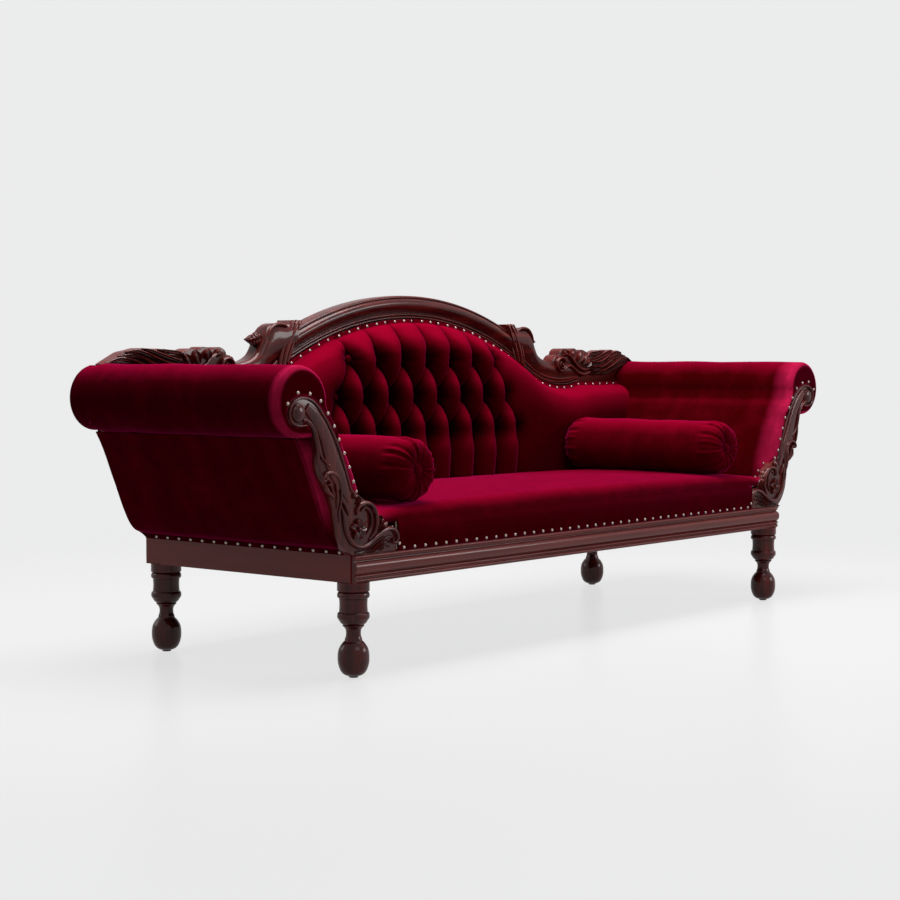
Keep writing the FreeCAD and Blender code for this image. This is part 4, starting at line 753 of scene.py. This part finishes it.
def under_facing(x, z):
    """How far a point lies inside the outline of the carved facing, in metres."""
    line = flowing(facing_outline, 2)
    near, within = 1.0, False
    for a, b in zip(line, line[1:] + line[:1]):
        along = (b - a).length_squared
        share = held(((x - a.x) * (b.x - a.x) + (z - a.y) * (b.y - a.y)) / along) if along else 0.0
        near = min(near, hypot(x - a.x - (b.x - a.x) * share, z - a.y - (b.y - a.y) * share))
        if (a.y > z) != (b.y > z) and x < a.x + (b.x - a.x) * (z - a.y) / (b.y - a.y):
            within = not within
    return near if within else -near


def arm_ring(y, shrink):
    """Section of the arm at a depth, drawn in towards the roll's middle by shrink."""
    line = [(p.x, p.y) for p in arm_inner]
    start = atan2(line[-1][1] - roll_z, line[-1][0] - roll_x)
    for k in range(1, 57):
        a = start - (start + pi / 2) * k / 56
        line.append((roll_x + roll_r * cos(a), roll_z + roll_r * sin(a)))
    line += [(p.x, p.y) for p in arm_outer[1:]]
    ring = []
    for x, z in line:
        lump = (0.0022 * noise.noise(Vector((x * 7, y * 7, z * 7 + 3.0)))
            + 0.0009 * noise.noise(Vector((x * 23, y * 17, z * 23))))
        middle = Vector((roll_x, roll_z)) if z > 0.56 or x > 1.04 else Vector((x + 0.05, z - 0.02))
        at = Vector((x, z))
        at += (middle - at).normalized() * (min(shrink, (middle - at).length * 0.98) - lump)
        ring.append((at.x, y, at.y))
    return ring


bm = bmesh.new()
front_tip, front_round, arm_rear, rear_face = -0.3435, 0.02, 0.311, 0.3535
rings = [arm_ring(front_tip + front_round * (1 - cos(pi / 2 * k / 8)),
    front_round * (1 - sin(pi / 2 * k / 8))) for k in range(9)]
rings += [arm_ring(front_tip + front_round + (arm_rear - front_tip - front_round) * k / 80, 0.0)
    for k in range(1, 81)]
skin(bm, rings)
bmesh.ops.delete(bm, geom=[min(bm.faces, key=lambda face: face.calc_center_median().y)],
    context="FACES_ONLY")
rim = [Vector((x, z)) for x, y, z in rings[0]]
spots = [Vector((0.92 + 0.007 * i, 0.295 + 0.007 * k)) for i in range(42) for k in range(61)]
laid = delaunay_2d_cdt(rim + spots, [], [list(range(len(rim)))], 1, 0.00001)
places, filled = laid[0], laid[2]
used = sorted({i for face in filled for i in face})
corners = {i: bm.verts.new((places[i].x, front_tip, places[i].y)) for i in used}
for face in filled:
    bm.faces.new([corners[i] for i in face])
bmesh.ops.remove_doubles(bm, verts=bm.verts, dist=0.00005)
bmesh.ops.recalc_face_normals(bm, faces=bm.faces)
for vert in bm.verts:
    x, y, z = vert.co
    if y < -0.323:
        within = under_facing(x, z)
        vert.co.y = (max(y, front_tip + 0.0195 * smooth(0.003, 0.012, within))
            - 0.006 * smooth(0.0, 0.005, -within))
slab(bm, trace((9612, 2870), (9612, 2870), (9622, 3000), (9800, 3055), (9970, 3130), (10120, 3280),
    (10240, 3480), (10700, 4540), (11040, 5310), (11180, 5600), (11180, 5600), (10500, 5600),
    (10500, 5600), (10000, 4800), (9600, 4000), (9300, 3400), (9300, 2870), (9300, 2870)), -0.329,
    -0.3236, 0.0035, 4)
end_r = 0.0795
end = [(roll_x + end_r * cos(2 * pi * k / 72), roll_z + end_r * sin(2 * pi * k / 72))
    for k in range(72)]
slab(bm, [(x, min(z, 0.693 + 6.0 * max(0.0, x - 1.13))) for x, z in end], 0.3095, rear_face, 0.03, 6)
for made in twins("arm_velvet", bm, crimson, ["arm_pad_{}"], 80):
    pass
# This copy is painted lighter by a lift of 0.14.
plain_crimson = velvet("crimson_velvet_outside", painted_light_lift=0.14)
panel = flowing(trace((11200, 5590), (11040, 5310), (10700, 4540), (10240, 3480), (10120, 3280),
    (9970, 3130), (9800, 3055), (9622, 3000), (9612, 2960), (9612, 2870)), 5)
panel_front, panel_deep = -0.3235, 0.675
for side, sign in (("right", 1), ("left", -1)):
    rows = []
    for p in panel:
        row = []
        for k in range(61):
            y = panel_front + panel_deep * k / 60
            slack = 0.0016 * noise.noise(Vector((p.y * 8, y * 5, sign * 2.0)))
            dimple = 0.5 - 0.5 * cos(2 * pi * (y + 0.31) / 0.0413)
            pull = exp(-((p.y - nail_row) / 0.014) ** 2) * dimple * 0.002
            row.append((sign * (p.x + slack + pull), y, p.y))
        rows.append(row)
    made = cloth_grid(f"arm_outside_velvet_{side}", rows, plain_crimson,
        [f"arm_outside_panel_{side}"], 0.003)

# Back: the middle is deep buttoned in diamonds, with pleats running up to the crest and down
# behind the seat. Plain padded wings carry the velvet out to the arms, and a flat panel closes
# the outside.
pitch, row_gap, top_row = 0.105, 0.1025, 0.734
tuft_y, wing_y, tack_y, tuft_swell = 0.25, 0.237, 0.303, 0.048
back_foot, nail_margin, roll_rise = 0.3, 0.0135, 0.088
rows_of_buttons = [(top_row - i * row_gap, [(k - (6 + i) / 2) * pitch for k in range(7 + i)])
    for i in range(3)]
buttons = [(x, z) for z, places in rows_of_buttons for x in places]
low_row = rows_of_buttons[-1][0]


def back_top(x):
    """Height of the back's top edge, just under the crest."""
    return crest_edge(x) - 0.0015


def rolled_back(z, x, plane):
    """Depth of the pad's face at a height: upright, then rolling back to the nailed margin."""
    slope = (crest_edge(x + 0.005) - crest_edge(x - 0.005)) / 0.01
    start = back_top(x) - nail_margin * hypot(1, slope) - roll_rise
    if z <= start:
        return plane
    rise = min((z - start) / roll_rise, 1.0)
    return plane + (tack_y - plane) * (1 - sqrt(max(0.0, 1 - rise ** 2.2)))


def puff(share, sharpness):
    """Height of a stuffed pleat across its width, from crease to crease."""
    return max(0.0, 4 * share * (1 - share)) ** sharpness


def tufting(x, z):
    """Swelling of the buttoned velvet, how far in the buttoned field, and where a highlight is painted.
    """
    px = x / pitch / (1 + 0.22 * max(0.0, z - top_row))
    height = (z - top_row) / (2 * row_gap)
    inside = 3.0 + max(0.0, min(2.0, (top_row - z) / row_gap)) * 0.5 - abs(px)
    past = max(z - top_row, low_row - z)
    f = px - int(px // 1)
    if z > top_row:
        swell = puff(f, 1.05 - 0.5 * smooth(0.0, 0.055, past)) * (1 - 0.35 * smooth(0.05, 0.16, past))
        painted_shine = 0.0
    elif z < low_row:
        swell = puff(f, 1.05 - 0.48 * smooth(0.0, 0.055, past)) * (1 - 0.3 * smooth(0.05, 0.2, past))
        painted_shine = exp(-((f - 0.5) / 0.2) ** 2 - ((past - 0.03) / 0.022) ** 2)
    else:
        a, b = (px + height) % 1, (px - height) % 1
        swell = puff(a, 0.6) * puff(b, 0.6)
        painted_shine = exp(-((a + b - 1) / 0.34) ** 2 - ((a - b - 0.42) / 0.26) ** 2)
    return swell, inside, painted_shine


def back_point(x, z):
    """Depth of the back's face: tufts in the middle, plain wings, and a crease between them."""
    base = rolled_back(z, x, tuft_y + 0.011)
    plain = rolled_back(z, x, wing_y)
    swell, inside, painted_shine = tufting(x, z)
    field = smooth(-0.02, 0.02, inside)
    fade = 1 - 0.8 * smooth(0.0, 0.085, z - (back_top(x) - 0.09))
    tufted = base - tuft_swell * swell * fade
    edge_crease = exp(-(abs(inside) / 0.1) ** 0.8)
    plain += 0.02 * edge_crease * fade
    depth = plain + (tufted - plain) * field
    for bx, bz in buttons:
        r = hypot(x - bx, z - bz)
        if r < 0.07:
            depth += 0.016 * exp(-(r / 0.026) ** 2)
            a = atan2(z - bz, x - bx)
            depth += 0.0011 * sin(7 * a + bx * 90) * exp(-((r - 0.022) / 0.014) ** 2)
    depth += (0.0016 * noise.noise(Vector((x * 8, z * 8, 4.0)))
        + 0.0006 * noise.noise(Vector((x * 35, z * 20, 9.0))))
    return min(depth, 0.3045)


folded_crimson = velvet("crimson_velvet_folds", 0.16, True)
bm = bmesh.new()
columns, levels = 560, 168
wing_end = 1.052
grid = []
for k in range(levels + 1):
    row = []
    for i in range(columns + 1):
        x = wing_end * (2 * i / columns - 1)
        z = back_foot + (back_top(x) - back_foot) * k / levels
        row.append((x, back_point(x, z), z))
    grid.append(row)
skin(bm, grid, closed=False)
gone = [v for v in bm.verts
    if v.co.z < 0.62 and abs(v.co.x) > 0.936 + max(0.0, v.co.z - 0.4) * 0.5]
bmesh.ops.delete(bm, geom=gone, context="VERTS")
bmesh.ops.recalc_face_normals(bm, faces=bm.faces)
bmesh.ops.solidify(bm, geom=bm.faces[:], thickness=0.004)
made = piece("buttoned_back_velvet", bm, folded_crimson,
    ["back_pad_buttoned", "back_pad_wing_left", "back_pad_wing_right"], sharp=80)
# Painted shade stored on the back's points: darker in the creases and near black in the pockets round
# the buttons.
fold_shade = made.data.attributes.new("fold_depth", "FLOAT", "POINT")
crown = made.data.attributes.new("crown", "FLOAT", "POINT")
for vert, value, light in zip(made.data.vertices, fold_shade.data, crown.data):
    swell, inside, painted_shine = tufting(vert.co.x, vert.co.z)
    near = min(hypot(vert.co.x - bx, vert.co.z - bz) for bx, bz in buttons)
    pocket_shade = 1.25 * exp(-(near / 0.036) ** 2) * (1 - 0.5 * smooth(0.0, 0.05, vert.co.z - top_row))
    value.value = smooth(-0.05, 0.0, inside) * held(1.05 - 2.5 * swell) * 0.55 + pocket_shade
    # Painted highlight stored on the back's points: lighter on the roll under the crest, the wings'
    # upper part and the upper middle of each tuft.
    below = back_top(vert.co.x) - vert.co.z
    field = smooth(-0.02, 0.02, inside)
    light.value = (smooth(0.15, 0.02, below) * (0.55 - 0.25 * field)
        + 0.16 * (1 - field) * smooth(0.55, 0.66, vert.co.z)
        + field * (0.17 * swell * smooth(0.0, 0.03, near) + 0.5 * painted_shine))
bm = bmesh.new()
for bx, bz in buttons:
    dome(bm, bx, bz, 0.0098, tuft_y + 0.006, 0.0056, 20, 10)
piece("velvet_buttons", bm, crimson, ["back_buttons"])

back_edge = trace((9580, 2870), (9700, 2970), (9970, 3130), (10240, 3480), (10700, 4540), (11120, 5577),
    (11180, 6000), (11180, 6700))


def panel_reach(z):
    """Half width of the outside back at a height."""
    reach = max(x for x, low in back_edge if low <= z + 1e-6)
    for (x0, z0), (x1, z1) in zip(back_edge, back_edge[1:]):
        if z0 <= z <= z1:
            reach = x0 + (x1 - x0) * (z - z0) / (z1 - z0)
    return reach


panel_foot = 0.2875
rows = []
for k in range(49):
    row = []
    for i in range(121):
        across = 2 * i / 120 - 1
        x = back_edge[0][0] * across
        for closer in range(3):
            z = panel_foot + (crest_edge(x) + 0.01 - panel_foot) * (k / 48)
            x = across * panel_reach(z)
        row.append((x, rear_face + 0.0012 * noise.noise(Vector((x * 5, z * 5, 2.0))), z))
    rows.append(row)
made = cloth_grid("back_outside_velvet", rows, plain_crimson, ["back_outside_panel"],
    0.002)

# Upholstery nails: pale domed nails in close rows along the rails, round the facings and under
# the crest. Each sits where its place in the row meets the velvet.
made_nail, shader, where = finish_of("nail_metal", Metallic=1.0)
tarnish = where.noise(400.0, 2.0)
tarnish.blend((0.36, 0.3, 0.27, 1), (0.16, 0.12, 0.1, 1)).into(shader, "Base Color")
(0.22 + 0.25 * tarnish).into(shader, "Roughness")
covers = [BVHTree.FromObject(bpy.data.objects[name], bpy.context.evaluated_depsgraph_get())
    for name in ("seat_velvet", "arm_velvet_left", "arm_velvet_right", "buttoned_back_velvet",
    "arm_outside_velvet_left", "arm_outside_velvet_right")]
nail_radius, nail_shift = 0.0044, 0.028


def on_velvet(start, toward, fallback):
    """Point where a nail meets the velvet, looking from outside."""
    hits = [tree.ray_cast(start, toward, 0.12)[0] for tree in covers]
    hits = [hit for hit in hits if hit is not None and (hit - fallback).length < nail_shift]
    return min(hits, key=lambda hit: (hit - start).length) if hits else fallback


for name in ("rail_nails", "facing_nails", "crest_nails"):
    bm = bmesh.new()
    source = bmesh.new()
    source.from_mesh(node[name].data)
    bmesh.ops.remove_doubles(source, verts=source.verts, dist=0.0001)
    waiting = set(source.verts)
    while waiting:
        group, edge_of = set(), [next(iter(waiting))]
        while edge_of:
            vert = edge_of.pop()
            if vert not in group:
                group.add(vert)
                edge_of += [e.other_vert(vert) for e in vert.link_edges]
        waiting -= group
        lows = Vector([min(v.co[a] for v in group) for a in range(3)])
        highs = Vector([max(v.co[a] for v in group) for a in range(3)])
        middle = (lows + highs) / 2
        if name == "rail_nails" and abs(middle.x) > 0.95:
            side = 1 if middle.x > 0 else -1
            turn = Matrix.Rotation(radians(90 * side), 4, "Y")
            middle.x = lows.x if side > 0 else highs.x
            middle = on_velvet(middle + Vector((side * 0.03, 0, 0)), Vector((-side, 0, 0)), middle)
        else:
            turn = Matrix.Rotation(radians(90), 4, "X")
            middle.y = highs.y
            middle = on_velvet(middle + Vector((0, -0.03, 0)), Vector((0, 1, 0)), middle)
        bmesh.ops.create_uvsphere(bm, u_segments=12, v_segments=6, radius=nail_radius,
            matrix=Matrix.Translation(middle) @ turn @ Matrix.Diagonal((1, 1, 0.55, 1)))
    source.free()
    piece(name.replace("nails", "nail_heads"), bm, made_nail, [name])

# Bolsters: two loose round cushions of the same velvet, lying along the arms. Each end is gathered
# in pleats to a small covered knot, and the underside is pressed flat by the seat.
# This copy is painted lighter by a lift of 0.2.
loose_crimson = velvet("crimson_velvet_bolsters", painted_light_lift=0.2)
bolster_x, bolster_z, bolster_r = 0.7, 0.4711, 0.0785
bolster_front, bolster_back, end_depth = -0.328, 0.224, 0.046
for side, sign in (("left", -1), ("right", 1)):
    cx = sign * bolster_x
    end = trace((0, 85), (100, 80), (200, 45), (320, 10), (440, 0), (560, 30), (660, 100), (735, 210),
        (770, 330), (780, 420))
    profile = [Vector((cx + r, bolster_front + y, bolster_z)) for r, y in end]
    straight = bolster_back - bolster_front - 2 * end_depth
    profile += [Vector((cx + bolster_r, bolster_front + end_depth + straight * k / 60, bolster_z))
        for k in range(61)]
    profile += [Vector((cx + r, bolster_back - y, bolster_z)) for r, y in end[::-1]]
    line = []
    for a, b in zip(profile, profile[1:]):
        line += [a + (b - a) * t / 3 for t in range(3)]
    line.append(profile[-1])
    bm = bmesh.new()
    spun(bm, line, (cx, 0, bolster_z), (0, 1, 0), steps=168)
    for vert in bm.verts:
        dx, dz = vert.co.x - cx, vert.co.z - bolster_z
        r, a = hypot(dx, dz), atan2(dz, dx)
        front = vert.co.y - bolster_front
        inset = min(front, bolster_back - vert.co.y)
        folds = (sin(15 * a + 1.3 * sin(3 * a + sign)) + 0.6 * sin(26 * a + 2.0 * sin(2 * a))) / 1.6
        if inset < 0.075 and r > 0.001:
            depth = smooth(0.008, 0.03, r) * (1 - smooth(0.03, 0.075, inset))
            push = 0.003 * folds * depth
            face = 1 - smooth(0.01, 0.04, inset)
            vert.co.y += (1 if front < 0.2 else -1) * push * face
            vert.co.x -= dx / r * push * (1 - face)
            vert.co.z -= dz / r * push * (1 - face)
        lump = 0.003 * noise.noise(Vector((vert.co.x * 9, vert.co.y * 9, vert.co.z * 9 + sign)))
        if r > 0.02:
            vert.co.x += dx / r * lump
            vert.co.z += dz / r * lump
        rest = seat_top(vert.co.x, vert.co.y) + 0.0012
        vert.co.z = max(vert.co.z, rest)
    made = piece(f"bolster_velvet_{side}", bm, loose_crimson, [f"bolster_{side}"],
        f"{side}_bolster", 80)
    bm = bmesh.new()
    for y, out in ((bolster_front + 0.006, -1), (bolster_back - 0.006, 1)):
        for vert in dome(bm, cx, bolster_z, 0.0122, y, 0.0068):
            a = atan2(vert.co.z - bolster_z, vert.co.x - cx)
            vert.co.y += out * 0.0007 * sin(11 * a)
    piece(f"bolster_knots_{side}", bm, loose_crimson, [f"bolster_buttons_{side}"],
        f"{side}_bolster")

# Studio: a wide pale floor, soft light from above, the sides and behind, and the photograph's low
# three-quarter view.


def shown(space):
    """1 for the rays that look at the scene, straight or by way of a shine, and 0 for its light."""
    ray = [space.node("LightPath", f"Is {kind} Ray") for kind in ("Camera", "Glossy", "Transmission")]
    return (ray[0] + ray[1] + ray[2]).held()


made, shader, where = finish_of("studio_floor", Roughness=0.25, Specular_IOR_Level=0.05,
    Emission_Strength=1.0)
where.noise(2.0).blend((0.4, 0.4, 0.395, 1), (0.42, 0.42, 0.415, 1)).into(shader, "Base Color")
tree = made.node_tree
seen = shown(where)
backdrop = (0.835, 0.838, 0.84, 1)
away = where.node("VectorMath", "Value", {"operation": "LENGTH"}, {0: where})
far = ((away - 1.9) * 0.6).held()
seen.blend((0, 0, 0, 1), (0.325, 0.325, 0.32, 1)).into(shader, "Emission Color")
glow = tree.nodes.new("ShaderNodeEmission")
glow.inputs["Color"].default_value = backdrop
mixed = tree.nodes.new("ShaderNodeMixShader")
tree.links.new((seen * (0.7 + 0.3 * far)).link, mixed.inputs[0])
tree.links.new(shader.outputs[0], mixed.inputs[1])
tree.links.new(glow.outputs[0], mixed.inputs[2])
tree.links.new(mixed.outputs[0], tree.nodes["Material Output"].inputs[0])
bm = bmesh.new()
bmesh.ops.create_grid(bm, x_segments=2, y_segments=2, size=30)
mesh = bpy.data.meshes.new("studio_floor")
bm.to_mesh(mesh)
bm.free()
mesh.materials.append(made)
floor = bpy.data.objects.new("studio_floor", mesh)
bpy.context.scene.collection.objects.link(floor)

world = bpy.data.worlds.new("studio_world")
world.use_nodes = True
bpy.context.scene.world = world
sky = world.node_tree.nodes["Background"]
sky.inputs["Strength"].default_value = 1.0
air = Socket(world.node_tree, world.node_tree.nodes.new("ShaderNodeTexCoord").outputs["Object"])
shown(air).blend((0.13, 0.13, 0.135, 1), backdrop).into(sky, "Color")

for name, place, aim, size, power in (
        ("top_light", (-0.1, -0.1, 3.3), (0, 0.1, 0.4), (3.2, 1.6), 190.0),
        ("right_light", (3.7, -4.3, 2.1), (0, 0, 0.6), (2.1, 1.7), 110.0),
        ("front_light", (-1.4, -3.4, 3.0), (0, 0, 0.4), (2.0, 1.4), 22.0),
        ("rear_light", (-2.6, 4.6, 2.4), (0, 0, 0.5), (3.0, 2.0), 45.0)):
    lamp = bpy.data.lights.new(name, "AREA")
    lamp.shape = "RECTANGLE"
    lamp.size, lamp.size_y = size
    lamp.energy = power
    stand = bpy.data.objects.new(name, lamp)
    bpy.context.scene.collection.objects.link(stand)
    stand.matrix_world = (Matrix.Translation(place)
        @ (Vector(aim) - Vector(place)).to_track_quat("-Z", "Y").to_matrix().to_4x4())

lens = bpy.data.cameras.new("camera")
lens.lens, lens.sensor_width = 78.2, 36.0
camera = bpy.data.objects.new("camera", lens)
bpy.context.scene.collection.objects.link(camera)
looking = Vector((0.7714, 0.6345, -0.0487))
camera.matrix_world = (Matrix.Translation((-4.257, -3.347, 0.746))
    @ looking.to_track_quat("-Z", "Y").to_matrix().to_4x4())
bpy.context.scene.camera = camera
bpy.context.scene.view_settings.view_transform = "Standard"
